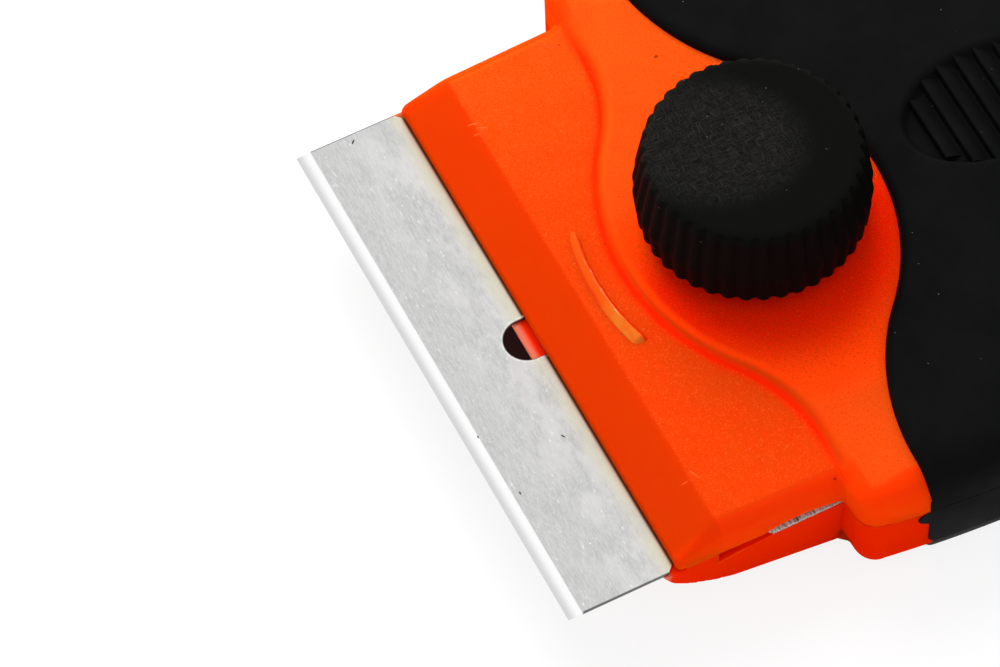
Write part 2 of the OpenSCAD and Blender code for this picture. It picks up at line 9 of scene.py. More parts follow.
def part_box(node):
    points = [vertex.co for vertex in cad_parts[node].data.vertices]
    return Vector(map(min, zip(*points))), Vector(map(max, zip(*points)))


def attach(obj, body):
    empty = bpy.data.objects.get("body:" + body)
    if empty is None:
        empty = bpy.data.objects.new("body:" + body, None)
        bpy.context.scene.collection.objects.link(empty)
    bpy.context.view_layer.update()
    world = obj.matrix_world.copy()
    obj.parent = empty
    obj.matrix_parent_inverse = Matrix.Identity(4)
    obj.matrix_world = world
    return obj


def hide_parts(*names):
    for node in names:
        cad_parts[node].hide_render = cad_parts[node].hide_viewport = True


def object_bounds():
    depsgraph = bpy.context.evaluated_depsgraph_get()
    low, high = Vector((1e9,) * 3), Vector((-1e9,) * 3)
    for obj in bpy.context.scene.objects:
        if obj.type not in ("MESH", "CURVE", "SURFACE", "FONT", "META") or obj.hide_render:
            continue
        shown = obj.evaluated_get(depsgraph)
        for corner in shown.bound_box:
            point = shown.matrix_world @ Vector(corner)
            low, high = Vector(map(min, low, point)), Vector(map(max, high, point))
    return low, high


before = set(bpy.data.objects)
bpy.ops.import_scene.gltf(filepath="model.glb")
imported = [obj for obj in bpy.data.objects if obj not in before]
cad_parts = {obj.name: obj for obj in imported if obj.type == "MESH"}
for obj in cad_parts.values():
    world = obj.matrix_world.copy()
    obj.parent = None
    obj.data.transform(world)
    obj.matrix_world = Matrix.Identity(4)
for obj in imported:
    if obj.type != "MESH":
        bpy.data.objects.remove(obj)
cad_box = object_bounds()


# Blade: a strip of hardened steel, stamped with a round-ended slot and a notch in each short end,
# and ground from both faces along one long edge. It lies loose between the jaws, which clamp it.
MM = 0.001
blade_low, blade_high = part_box("blade")
EDGE_X = blade_low.x
PLANE_Z = (blade_low.z + blade_high.z) / 2
EAR_OUT = 0.45
EAR_HALF = blade_high.y / MM
EDGE_HALF = EAR_HALF - EAR_OUT
BLADE_DEPTH = (blade_high.x - blade_low.x) / MM
BLADE_T = (blade_high.z - blade_low.z) / MM
GRIND_W = 1.0
EDGE_FLAT = 0.04
SLOT_W = 3.1
SLOT_X = 5.5
NOTCH_X = 7.1
NOTCH_DEPTH = 1.2
BURR = 0.016
BLADE_COLOUR = (0.71, 0.71, 0.705, 1)
# A near white for the steel's bright flecks, and for the painted reflection, highlight and sheen on the
# blade.
STEEL_WHITE = (0.98, 0.98, 0.98, 1)
TAN_COLOUR = (0.76, 0.73, 0.56, 1)


def placed(points):
    """Points in millimetres from the cutting edge and the blade's mid-plane, in the frame's metres."""
    return np.asarray(points, float) * MM + (EDGE_X, 0, PLANE_Z)


def stadium(x0, x1, width, steps=24):
    """Plan of a slot with round ends, from x0 to x1 along the tool."""
    r = width / 2
    turns = np.radians(np.linspace(-90, 90, steps))
    back = [(x1 - r + r * math.cos(t), r * math.sin(t)) for t in turns]
    return back + [(x0 + r - r * math.cos(t), -r * math.sin(t)) for t in turns]


def plate(outlines, low, high):
    """A flat plate between two heights, from its outline and the outlines of its holes."""
    bm = bmesh.new()
    for outline in outlines:
        ring = [bm.verts.new((x, y, low)) for x, y in outline]
        for a, b in zip(ring, ring[1:] + ring[:1]):
            bm.edges.new((a, b))
    bmesh.ops.triangle_fill(bm, use_beauty=True, edges=bm.edges[:])
    for raised in bmesh.ops.extrude_face_region(bm, geom=bm.faces[:])["geom"]:
        if isinstance(raised, bmesh.types.BMVert):
            raised.co.z = high
    bmesh.ops.recalc_face_normals(bm, faces=bm.faces[:])
    return bm


def as_mesh(name, bm):
    mesh = bpy.data.meshes.new(name)
    bm.to_mesh(mesh)
    bm.free()
    return mesh


def linked(name, data):
    """A new object with its data, in the scene."""
    made = bpy.data.objects.new(name, data)
    bpy.context.scene.collection.objects.link(made)
    return made


def evaluated(mesh, *modifiers):
    """The mesh after some modifiers, each given as its kind and its settings or inputs."""
    holder = linked(mesh.name, mesh)
    for kind, settings in modifiers:
        modifier = holder.modifiers.new(kind, kind)
        for key, value in settings.items():
            if hasattr(modifier, key):
                setattr(modifier, key, value)
            else:
                modifier[key] = value
    graph = bpy.context.evaluated_depsgraph_get()
    result = bpy.data.meshes.new_from_object(holder.evaluated_get(graph))
    holder.modifiers.clear()
    bpy.data.objects.remove(holder)
    return result


def finished(name, mesh, material, body, nodes=(), smooth=35):
    """Puts a mesh drawn in edge millimetres in its place, and hands it to its body."""
    points = np.array([v.co for v in mesh.vertices])
    mesh.vertices.foreach_set("co", placed(points).ravel())
    mesh.shade_smooth()
    mesh.set_sharp_from_angle(angle=math.radians(smooth))
    mesh.materials.clear()
    mesh.materials.append(material)
    piece = linked(name, mesh)
    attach(piece, body)
    if nodes:
        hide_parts(*nodes)


def node(kind, inputs, output=0, tree=None, **settings):
    """Adds a node to a tree, or else to the tree of its inputs, and gives one of its outputs.
    Inputs go by socket name or number, and hold values or other nodes' sockets."""
    tree = tree or next(v for v in inputs.values() if isinstance(v, bpy.types.NodeSocket)).id_data
    made = tree.nodes.new(kind)
    for key, value in settings.items():
        setattr(made, key, value)
    for key, value in inputs.items():
        if isinstance(value, bpy.types.NodeSocket):
            tree.links.new(value, made.inputs[key])
        else:
            made.inputs[key].default_value = value
    return made.outputs[output]


def axes_of(vector):
    return node("ShaderNodeSeparateXYZ", {0: vector}).node.outputs


def maths(operation, first, *others):
    """A value worked out from one or two others, or from more taken one after another."""
    if not others:
        return node("ShaderNodeMath", {0: first}, operation=operation)
    for other in others:
        first = node("ShaderNodeMath", {0: first, 1: other}, operation=operation)
    return first


def product(*values):
    return maths("MULTIPLY", *values)


def ramp(value, low, high, to_low=0.0, to_high=1.0):
    """A value carried smoothly from one range to another."""
    inputs = dict(enumerate((value, low, high, to_low, to_high)))
    return node("ShaderNodeMapRange", inputs, interpolation_type="SMOOTHSTEP")


def layered(colour, *layers):
    """A colour with others laid over it in turn, each given as its share and itself."""
    for share, over in layers:
        colour = node("ShaderNodeMix", {0: share, 6: colour, 7: over}, 2, data_type="RGBA")
    return colour


def grey(level):
    return (level, level, level, 1)


def new_material(name, **sockets):
    """A material whose principled shader has its constant sockets set, and the place on the piece in
    millimetres from the cutting edge and the blade's mid-plane."""
    material = bpy.data.materials.new(name)
    material.use_nodes = True
    tree = material.node_tree
    for key, value in sockets.items():
        tree.nodes["Principled BSDF"].inputs[key.replace("_", " ")].default_value = value
    coords = node("ShaderNodeTexCoord", {}, "Object", tree)
    moves = {0: coords, "Location": (EDGE_X, 0, PLANE_Z), "Scale": (MM, MM, MM)}
    return material, node("ShaderNodeMapping", moves, vector_type="TEXTURE")


def surface(material, colour, rough, bumps, **sockets):
    """Links a material's colour, roughness, bumps and other sockets. Bumps are height, strength and depth."""
    tree = material.node_tree
    normal = node("ShaderNodeBump", dict(zip(("Height", "Strength", "Distance"), bumps)))
    sockets = {"Base Color": colour, "Roughness": rough, "Normal": normal, **sockets}
    for key, value in sockets.items():
        tree.links.new(value, tree.nodes["Principled BSDF"].inputs[key])


def noise(vector, scale, stretch=(1, 1, 1), detail=3.0, rough=0.6):
    """A noise value, with its pattern stretched along the axes."""
    pulled = node("ShaderNodeMapping", {0: vector, "Scale": stretch})
    inputs = {"Vector": pulled, "Scale": scale, "Detail": detail, "Roughness": rough}
    return node("ShaderNodeTexNoise", inputs)


def new_group(name, kind, inputs, outputs):
    """An empty node group with named sockets of given kinds, its inputs and what closes it."""
    tree = bpy.data.node_groups.new(name, kind)
    for way, sockets in (("INPUT", inputs), ("OUTPUT", outputs)):
        for key, value in sockets.items():
            key = key.replace("_", " ")
            tree.interface.new_socket(name=key, in_out=way, socket_type="NodeSocket" + value)
    start = tree.nodes.new("NodeGroupInput").outputs
    end = tree.nodes.new("NodeGroupOutput").inputs
    return tree, start, lambda socket: tree.links.new(socket, end[0])


def shader_group(name, output, **inputs):
    return new_group(name, "ShaderNodeTree", inputs, {output: "Float"})


def use_group(group, **inputs):
    named = {key.capitalize(): value for key, value in inputs.items()}
    return node("ShaderNodeGroup", named, node_tree=group)


# A short mark on a surface, such as a nick or a scuff: a soft ellipse at a place, turned by an angle
MARK, mark_in, close_mark = shader_group(
    "surface_mark", "Mask", Place="Vector", Centre="Vector", Turn="Float", Length="Float", Width="Float"
)
mark_off = node("ShaderNodeVectorMath", {0: mark_in[0], 1: mark_in[1]}, operation="SUBTRACT")
mark_axes = axes_of(node("ShaderNodeVectorRotate", {0: mark_off, 3: mark_in[2]}, rotation_type="Z_AXIS"))
mark_long = maths("DIVIDE", mark_axes[0], mark_in[3])
mark_wide = maths("DIVIDE", mark_axes[1], mark_in[4])
close_mark(ramp(maths("ADD", product(mark_long, mark_long), product(mark_wide, mark_wide)), 1.0, 0.3))


def marks(place, listed):
    """The masks of some marks together, each given as its centre, turn, half length and half width."""
    masks = [
        use_group(MARK, place=place, centre=centre, turn=math.radians(turn), length=length, width=width)
        for centre, turn, length, width in listed
    ]
    return maths("MAXIMUM", 0.0, *masks)


BLADE_NICKS = [
    ((3.85, 18.88, 0), -43, 0.24, 0.07),
    ((5.79, -7.5, 0), 60, 0.2, 0.06),
    ((1.47, -9.96, 0), 90, 0.16, 0.06),
    ((0.97, -5.03, 0), 90, 0.14, 0.05),
]
SATIN, satin_place = new_material("blade_satin")
satin_x, satin_y, _ = axes_of(satin_place)
satin_side = maths("ABSOLUTE", satin_y)
grain = noise(satin_place, 4.0, (2.6, 0.4, 1), 5.0, 0.75)
speckle = noise(satin_place, 5.0, (1.2, 0.8, 1), 2.0)
mottle = noise(satin_place, 0.5, (1, 0.6, 1), 4.0)
flecks = ramp(noise(satin_place, 3.2, (1.6, 0.6, 1), 2.0), 0.62, 0.76)
ground = ramp(satin_x, GRIND_W + 0.05, GRIND_W - 0.05)
slot_r = SLOT_W / 2
slot_run = maths("MINIMUM", maths("SUBTRACT", satin_x, SLOT_X + slot_r), 0.0)
slot_far = maths("SQRT", maths("ADD", product(slot_run, slot_run), product(satin_side, satin_side)))
# A ring round the slot, where a highlight is painted.
slot_rim = ramp(maths("ABSOLUTE", maths("SUBTRACT", slot_far, slot_r + 0.13)), 0.07, 0.03)
slot_cut = ramp(slot_far, slot_r + 0.06, slot_r + 0.02)
# Painted shade: a dark line along the slot's cut edge and the blade's ends.
cut_edge = maths("MAXIMUM", slot_cut, ramp(satin_side, EDGE_HALF - 0.09, EDGE_HALF - 0.03))
cut_edge = product(cut_edge, ramp(satin_x, GRIND_W, GRIND_W + 0.1, 0.0, 0.85), ramp(satin_x, 12.0, 11.0))
# Painted sheen on the blade's ends under the jaw's arches: there the steel is painted pale, and made rough
# and less metallic so that it spreads the light.
ear_sheen = product(ramp(satin_side, EDGE_HALF - 0.6, EDGE_HALF - 0.2), ramp(satin_x, 12.0, 13.0))
satin_colour = layered(
    grey(0.53),
    (ramp(grain, 0.3, 0.7), BLADE_COLOUR),
    (ramp(speckle, 0.45, 0.25, 0.0, 0.5), grey(0.5)),
    (product(ramp(mottle, 0.4, 0.62), ramp(satin_x, 1.5, 6.0, 0.1, 0.7)), (0.8, 0.8, 0.79, 1)),
    (product(flecks, 0.6), STEEL_WHITE),
    (product(ramp(satin_x, 6.0, 7.5), ramp(mottle, 0.25, 0.6, 0.4, 1.0)), TAN_COLOUR),
    # Painted shadow of the jaw's lip: a dark line where the blade goes under the lip.
    (ramp(satin_x, 7.4, 7.62), (0.1, 0.05, 0.02, 1)),
    # Painted reflection on the ground bevel: near white, greyer at the very edge.
    (ground, layered(grey(0.68), (ramp(satin_x, 0.1, 0.75), STEEL_WHITE))),
    # Painted highlight on a ring round the slot.
    (product(slot_rim, ramp(speckle, 0.35, 0.6, 0.1, 0.7)), STEEL_WHITE),
    # Painted shade along the cut edges.
    (cut_edge, grey(0.06)),
    (marks(satin_place, BLADE_NICKS), grey(0.03)),
    # Painted sheen on the blade's ends under the arches.
    (product(ear_sheen, ramp(grain, 0.35, 0.55, -0.3, 0.5)), STEEL_WHITE),
)
satin_rough = maths("ADD", ramp(mottle, 0.2, 0.8, 0.3, 0.42), product(ground, -0.15), product(ear_sheen, 0.5))
satin_metal = ramp(ear_sheen, 0.0, 1.0, 1.0, 0.1)
surface(SATIN, satin_colour, satin_rough, (grain, 0.25, 0.00003), Metallic=satin_metal)

back_x = BLADE_DEPTH - NOTCH_X
notch_y = EDGE_HALF - NOTCH_DEPTH
blade_side = [
    (0, EDGE_HALF), (NOTCH_X, EDGE_HALF), (NOTCH_X + NOTCH_DEPTH, notch_y),
    (back_x - NOTCH_DEPTH, notch_y), (back_x + EAR_OUT, EAR_HALF), (BLADE_DEPTH, EAR_HALF),
]
blade_plan = blade_side + [(x, -y) for x, y in reversed(blade_side)]
blade_slot = stadium(SLOT_X, BLADE_DEPTH - SLOT_X, SLOT_W)
blade_bm = plate([blade_plan, blade_slot], -BLADE_T / 2, BLADE_T / 2)
bmesh.ops.bisect_plane(
    blade_bm, geom=blade_bm.verts[:] + blade_bm.edges[:] + blade_bm.faces[:],
    plane_co=(GRIND_W, 0, 0), plane_no=(1, 0, 0)
)
for vert in blade_bm.verts:
    if vert.co.x < GRIND_W - BURR:
        vert.co.z = math.copysign(EDGE_FLAT / 2, vert.co.z)
blade_bevel = dict(width=BURR, segments=2, limit_method="ANGLE", angle_limit=1.0, use_clamp_overlap=False)
blade_mesh = evaluated(as_mesh("blade", blade_bm), ("BEVEL", blade_bevel))
finished("steel_blade", blade_mesh, SATIN, "base", ["blade"], smooth=25)


# Lower shell: the orange lower half, moulded with the lower jaw, the lugs and the post that hold the
# blade, and the lower half of the collar. Its back part is the core of the soft grip, and its parting
# face falls away behind the tail pin.
TIP_X = 6.8
CHIN = (7.44, 1.65)
HEEL = (11.3, 4.6)
TIP_DEPTH = 0.525
LIP_X = 7.66
LIP_HALF = EDGE_HALF + 0.16
JAW_FLARE = 0.4
JAW_DRAFT = 0.6
TIP_R = 0.15
TIP_SOFT = 0.25
HEEL_SOFT = 0.6
WALL_SOFT = 0.5
LEDGE_X = 10.5
LEDGE_W = 1.5
LEDGE_H = 0.95
LEDGE_L = 4.6
LUG_X = NOTCH_X + NOTCH_DEPTH
LUG_W = 1.0
BED_GAP = 0.2
BED_END = BLADE_DEPTH + BED_GAP
POST_X = 10.4
POST_H = 1.0
POST_ROOT = 0.3
FIT_GAP = 0.2
COLLAR_X = 19.4
COLLAR_HALF = 22.8
COLLAR_FLARE = math.radians(8.5)
CORNER_R = 1.6
COLLAR_DEPTH = 5.95
CHIN_SOFT = 1.6
COLLAR_SOFT = 0.3
EDGE_R = 2.5
JAW_END = COLLAR_X + CORNER_R
EAR_ROOM_X = BLADE_DEPTH - NOTCH_X - BED_GAP
CORNER_Y = COLLAR_HALF - CORNER_R * math.cos(COLLAR_FLARE)
SOFT_FROM_SHARE = 0.75
TOTAL_LEN = (cad_box[1].x - EDGE_X) / MM
BELLY = (36.0, 23.9)
SHOULDER = (TOTAL_LEN - 16, 16.5)
TAIL_FLAT = 4.5
SKIN_T = 1.3
PART_Z = 0.03
GRIP_DEPTH = PLANE_Z / MM
BELL_X = 23.8
BELL = dict(front=BELL_X, nose=32.2, nose_r=15.2, sweep_r=16.0)
KNOB_X = (sum(c.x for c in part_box("knob")) / 2 - EDGE_X) / MM
NUT_AF = 7.2
NUT_TOP = 2.55
STUD_HOLE_R = 2.5
HANG_X = TOTAL_LEN - 16
EASE_RUN = 6.5
TAIL_EASE = 0.36
HANG_R = 3.0
RIM_SOFT = 0.5
UNDER_GRIP = 0.35
GRIP_STEPS = (BELL_X, BELL_X + UNDER_GRIP)
GRIP_CLEAR = 0.04
AXIS_R = 0.01
OVERCUT = 3
TOOL_TOP = 6.0
BEYOND = 99


def softer_min(a, b, k):
    """The lesser of two heights, with the corner between them rounded over k."""
    h = np.maximum(k - np.abs(a - b), 0) / k
    return np.minimum(a, b) - h * h * k / 4


def softer_max(a, b, k):
    return -softer_min(-a, -b, k)


def mix(a, b, share):
    return a + (b - a) * share


def quarter(depth, r):
    """Fall of a rounded edge of radius r, at a depth in from the face that it rounds."""
    return r - np.sqrt(np.maximum(r * r - np.square(r - np.clip(depth, 0, r)), 0))


def bezier(points, steps=40):
    t = np.linspace(0, 1, steps)[:, None]
    a, b, c, d = (np.array(p) for p in points)
    return a * (1 - t) ** 3 + 3 * b * t * (1 - t) ** 2 + 3 * c * t * t * (1 - t) + d * t ** 3


side_x = COLLAR_X + CORNER_R * (1 - math.sin(COLLAR_FLARE))
collar_lead = 0.25 * (BELLY[0] - side_x)
shoulder_fall = (BELLY[1] - SHOULDER[1]) / (SHOULDER[0] - BELLY[0])
waist_lead = mix(BELLY[0], SHOULDER[0], 0.55)
tail_lead = 0.55 * (TOTAL_LEN - SHOULDER[0])
SIDE = np.vstack([
    bezier([
        (side_x, COLLAR_HALF),
        (side_x + collar_lead, COLLAR_HALF + collar_lead * math.tan(COLLAR_FLARE)),
        (mix(side_x, BELLY[0], 0.55), BELLY[1]), BELLY,
    ]),
    bezier([
        BELLY, (mix(BELLY[0], SHOULDER[0], 0.4), BELLY[1]),
        (waist_lead, SHOULDER[1] + shoulder_fall * (SHOULDER[0] - waist_lead)), SHOULDER,
    ])[1:],
    bezier([
        SHOULDER, (SHOULDER[0] + tail_lead, SHOULDER[1] - shoulder_fall * tail_lead),
        (TOTAL_LEN, mix(TAIL_FLAT, SHOULDER[1], 0.6)), (TOTAL_LEN, TAIL_FLAT),
    ])[1:],
])


def side_width(x):
    """Half width of the handle, with the collar's round corner in front of it."""
    corner = CORNER_Y + np.sqrt(np.maximum(CORNER_R ** 2 - np.square(np.minimum(x - JAW_END, 0)), 0))
    return np.where(x < side_x, corner, np.interp(x, SIDE[:, 0], SIDE[:, 1]))


def swept(y, front, nose, nose_r, sweep_r):
    """A front edge with a round nose on the centre line, and a reverse curve into a straight."""
    way = 1 if nose > front else -1
    mid = math.sqrt((nose_r + sweep_r) ** 2 - (front + way * sweep_r - nose + way * nose_r) ** 2)
    a = np.abs(y)
    reverse = front + way * (sweep_r - np.sqrt(np.maximum(sweep_r ** 2 - np.square(mid - a), 0)))
    round_nose = nose - way * (nose_r - np.sqrt(np.maximum(nose_r ** 2 - a * a, 0)))
    return np.where(a >= mid, front, np.where(a >= mid * nose_r / (nose_r + sweep_r), reverse, round_nose))


def behind(x, y, edge):
    """How far a point lies behind such a front edge, measured square to it."""
    step = 0.02
    lean = (swept(y + step, **edge) - swept(y - step, **edge)) / (2 * step)
    return (x - swept(y, **edge)) / np.sqrt(1 + lean * lean)


def corner_depth(x, y):
    """How far a point lies inside the collar's side and its round front corner."""
    reach = np.hypot(np.maximum(JAW_END - x, 0), np.maximum(np.abs(y) - CORNER_Y, 0))
    return side_width(np.maximum(x, JAW_END)) - CORNER_Y - reach


def side_share(y):
    return np.clip((np.abs(y) / CORNER_Y - SOFT_FROM_SHARE) / (1 - SOFT_FROM_SHARE), 0, 1)


def loft(name, rings, paired=False):
    """A closed mesh over rings of equally many points. Paired ends join each point to its opposite."""
    n, m = rings.shape[:2]
    i, j = np.meshgrid(np.arange(n - 1), np.arange(m), indexing="ij")
    k = (j + 1) % m
    walls = np.stack([i * m + j, i * m + k, (i + 1) * m + k, (i + 1) * m + j], -1).reshape(-1, 4)
    if paired:
        ends = [
            [r + a, r + a + 1, r + m - 2 - a, r + m - 1 - a]
            for r in (0, (n - 1) * m) for a in range(m // 2 - 1)
        ]
    else:
        ends = [list(range(m)), list(range((n - 1) * m, n * m))]
    mesh = bpy.data.meshes.new(name)
    mesh.from_pydata(rings.reshape(-1, 3).tolist(), [], walls.tolist() + ends)
    bm = bmesh.new()
    bm.from_mesh(mesh)
    bmesh.ops.recalc_face_normals(bm, faces=bm.faces[:])
    if bm.calc_volume(signed=True) < 0:
        bmesh.ops.reverse_faces(bm, faces=bm.faces[:])
    bm.to_mesh(mesh)
    bm.free()
    return mesh


def turned(profile, x, steps=64):
    """A closed turned form about an upright axis, from its profile of radius and height."""
    turns = np.linspace(0, 2 * math.pi, steps, endpoint=False)
    rings = np.array([[(x + r * math.cos(t), r * math.sin(t), z) for t in turns] for r, z in profile])
    return loft("turned", rings)


def drill(radius, low, high, steps):
    """A round or hexagon tool on the knob's axis."""
    return turned([(AXIS_R, low), (radius, low), (radius, high), (AXIS_R, high)], KNOB_X, steps)


def cut(mesh, *tools):
    """The mesh less some closed tools."""
    holders = [linked("tool", tool) for tool in tools]
    steps = [("BOOLEAN", dict(operation="DIFFERENCE", solver="MANIFOLD", object=h)) for h in holders]
    result = evaluated(mesh, *steps)
    for holder in holders:
        bpy.data.objects.remove(holder)
    return result


def steps_at(*places):
    """Stretches of stations just before and after some steps in a form."""
    return [(s - STEP, s + STEP, STEP) for s in places]


def spread(*stretches):
    """Stations along a line, from stretches of start, end and spacing."""
    runs = [np.linspace(a, b, max(2, round((b - a) / d) + 1)) for a, b, d in stretches]
    return np.unique(np.round(np.concatenate(runs), 5))


def across(spacing, edge_steps=12):
    """Shares of the half width from one side to the other, closer together at the rounded sides."""
    flat = 1 - EDGE_R / BELLY[1]
    rim = np.cos(np.linspace(0, math.pi / 2, edge_steps))[::-1] * EDGE_R / BELLY[1]
    inside = np.linspace(0, flat, round(flat * BELLY[1] / spacing) + 1)
    half = np.unique(np.round(np.concatenate([inside, 1 - rim]), 6))
    return np.concatenate([half[::-1], -half[1:]])


def hang_tool(top):
    """The tool that cuts the hanging hole, flared at both ends so that its rims come out rounded."""
    turns = np.radians(np.linspace(0, 90, 6))
    rim = [(HANG_R + RIM_SOFT * (1 - math.cos(t)), RIM_SOFT * (math.sin(t) - 1)) for t in turns]
    rim += [(HANG_R + RIM_SOFT, OVERCUT), (AXIS_R, OVERCUT)]
    return turned([(r, -GRIP_DEPTH - z) for r, z in rim[::-1]] + [(r, top + z) for r, z in rim], HANG_X)


def lower_depth(x, y):
    """Depth of the lower shell's underside below the blade."""
    tip = TIP_DEPTH + (x - TIP_X) * (CHIN[1] - TIP_DEPTH) / (CHIN[0] - TIP_X)
    chin = CHIN[1] + (x - CHIN[0]) * (HEEL[1] - CHIN[1]) / (HEEL[0] - CHIN[0])
    heel = HEEL[1] + (np.minimum(x, JAW_END) - HEEL[0]) * (COLLAR_DEPTH - HEEL[1]) / (JAW_END - HEEL[0])
    jaw = softer_min(softer_min(tip, chin, TIP_SOFT), heel, HEEL_SOFT)
    top_half = jaw_half(x)
    low_half = top_half - JAW_DRAFT * np.clip((x - CHIN[0]) / (HEEL[0] - CHIN[0]), 0.3, 1)
    wall = jaw * (top_half - np.abs(y)) / (top_half - low_half)
    jaw = softer_min(jaw, wall, WALL_SOFT)
    depth = corner_depth(x, y)
    collar = COLLAR_DEPTH - quarter(depth, mix(CHIN_SOFT, EDGE_R, side_share(y)))
    return softer_max(jaw, np.where(depth > 0, collar, -9.0), COLLAR_SOFT)


def jaw_half(x, fillet=0.05):
    """Half width of the jaws where they meet, with a fillet into the collar's face."""
    flare = JAW_FLARE * np.clip((x - LIP_X) / (JAW_END - LIP_X), 0, 1)
    run = np.clip(x - COLLAR_X + fillet, 0, fillet)
    return LIP_HALF + flare + fillet - np.sqrt(fillet ** 2 - run * run)


def outer_half(x, start):
    """Half width of a shell: the jaw, then the collar, then the core under the grip."""
    side = side_width(x)
    collar = np.where(x > COLLAR_X, side - np.where(x > BELL_X, GRIP_CLEAR, 0), 0)
    front = np.maximum(jaw_half(np.maximum(x, start)), collar)
    return np.where(x < BELL_X + UNDER_GRIP, front, side - SKIN_T)


def tail_ease(x):
    """How far the lower half's parting face falls away behind the pin, so that the upper half can tip."""
    return TAIL_EASE * np.clip((x - TOTAL_LEN + EASE_RUN) / EASE_RUN, 0, 1)


def mating_height(x, y):
    """Height of the lower shell's upper face: the blade's bed, the thumb notches and the lugs."""
    a = np.abs(y)
    room = np.where(x < EAR_ROOM_X, EDGE_HALF, EAR_HALF) + BED_GAP
    height = np.where((x < BED_END) & (a < room), -BLADE_T / 2, -PART_Z - tail_ease(x))
    left = np.clip(1 - (x - LEDGE_X) / LEDGE_L, 0, 1)
    notch = (x > LEDGE_X) & (left > 0) & (a > LIP_HALF - LEDGE_W)
    lug = (x > LUG_X) & (x <= LEDGE_X) & (a > LIP_HALF - LUG_W)
    return np.where(notch, -BLADE_T / 2 - LEDGE_H * left, np.where(lug, BLADE_T / 2, height))


STEP = 0.01
lower_x = spread(
    (TIP_X, 8.2, 0.08), (8.2, 18.6, 0.3), (18.6, 21.2, 0.08), (21.2, 34, 0.3), (34, TOTAL_LEN - SKIN_T, 1.2),
    *steps_at(LUG_X, LEDGE_X, EAR_ROOM_X, LEDGE_X + LEDGE_L, COLLAR_X, BED_END, *GRIP_STEPS),
)
lower_share = across(0.4, 36)
bed_lines = (EAR_HALF + BED_GAP, LIP_HALF + BED_GAP, LIP_HALF - LUG_W, LIP_HALF - LEDGE_W)
inner_lines = np.array([BEYOND] + [y + d for y in bed_lines for d in (STEP, -STEP)] + [0])
inner_lines = np.concatenate([-inner_lines, inner_lines[-2::-1]])
lower_w = outer_half(lower_x, TIP_X) - quarter(lower_x - TIP_X, TIP_R)
gx = np.repeat(lower_x[:, None], len(lower_share), 1)
gy = lower_w[:, None] * lower_share
core_depth = GRIP_DEPTH - SKIN_T - quarter(lower_w[:, None] - np.abs(gy), EDGE_R - SKIN_T)
gz = np.where(behind(gx, gy, BELL) > UNDER_GRIP, core_depth, lower_depth(gx, gy))
gz = np.maximum(gz, 0.02 - mating_height(gx, gy))
ix = np.repeat(lower_x[:, None], len(inner_lines), 1)
iy = np.clip(inner_lines, -lower_w[:, None], lower_w[:, None])
lower_rings = np.concatenate(
    [np.stack([gx, gy, -gz], -1), np.stack([ix, iy, mating_height(ix, iy)], -1)], 1
)
nut_tool = drill(NUT_AF / 2 / math.cos(math.pi / 6), -GRIP_DEPTH - 1, -NUT_TOP, 6)
stud_tool = drill(STUD_HOLE_R, -4, 1, 48)
lower_mesh = cut(loft("lower_shell", lower_rings), nut_tool, stud_tool, hang_tool(TOOL_TOP))
post_plan = stadium(POST_X, BLADE_DEPTH - SLOT_X - FIT_GAP, SLOT_W - 2 * FIT_GAP)
post_mesh = as_mesh("post", plate([post_plan], -BLADE_T / 2 - POST_ROOT, POST_H))


# Orange shells: glossy moulded plastic with a fine spark-eroded texture on the flats, a little dust
# in the texture, and scuffs along the ridge where the tool has been handled. Light and shade are also
# painted into the colour: painted shadow beside the knob, in the wave's foot and in the lip's corner,
# painted shade on the bevel, the jaw's sides and the lower moulding, and painted light on the boss,
# along the ridge and on the lower jaw's tip.
RIDGE_X = 10.87
# Orange colours. DEEP is painted shadow, and also random deeper patches; BEVEL, SIDE and LOWER are painted
# shade on faces turned from the light, BEVEL also the pits of the texture; BOSS is painted light; WARM is the
# edge of the knob's painted shadow; PALE is a painted highlight along the ridge, and also dust and scuffs;
# TIP_PALE is painted light on the lower jaw's tip.
ORANGE_DEEP = (0.98, 0.012, 0.0001, 1)
ORANGE_BEVEL = (0.6, 0.032, 0.0008, 1)
ORANGE_LOWER = (0.78, 0.016, 0.0002, 1)
ORANGE_SPARK = (0.66, 0.049, 0.0024, 1)
ORANGE_BOSS = (0.74, 0.076, 0.0045, 1)
ORANGE_SIDE = (0.95, 0.044, 0.001, 1)
ORANGE_WARM = (1.0, 0.055, 0.0015, 1)
ORANGE_PALE = (1.0, 0.18, 0.045, 1)
TIP_PALE = (0.55, 0.22, 0.14, 1)
SPECK_COLOUR = (0.2, 0.01, 0.0, 1)
# Painted shadow under the lip's +y corner, on the lower jaw's bed: its colour and its mark.
LIP_SHADOW_COLOUR = (0.3, 0.09, 0.035, 1)
LIP_CORNER_SHADOW = [((7.3, 19.55, 0), 0, 0.9, 0.9)]
JAW_SCUFFS = [
    ((10.85, 15.0, 0), 20, 0.5, 0.07),
    ((11.2, 14.45, 0), 30, 0.45, 0.06),
    ((10.7, 14.2, 0), 10, 0.3, 0.05),
    ((11.2, -15.1, 0), 70, 0.5, 0.05),
    ((10.4, -15.3, 0), 10, 0.3, 0.04),
]
ORANGE_SPECKS = [
    ((18.6, 17.89, 0), 0, 0.09, 0.07),
    ((14.14, 2.72, 0), 0, 0.09, 0.06),
    ((18.98, -19.39, 0), 0, 0.1, 0.08),
    ((23.57, 13.63, 0), 0, 0.2, 0.14),
]
PAINTED = ("spark", "tone", "shade")

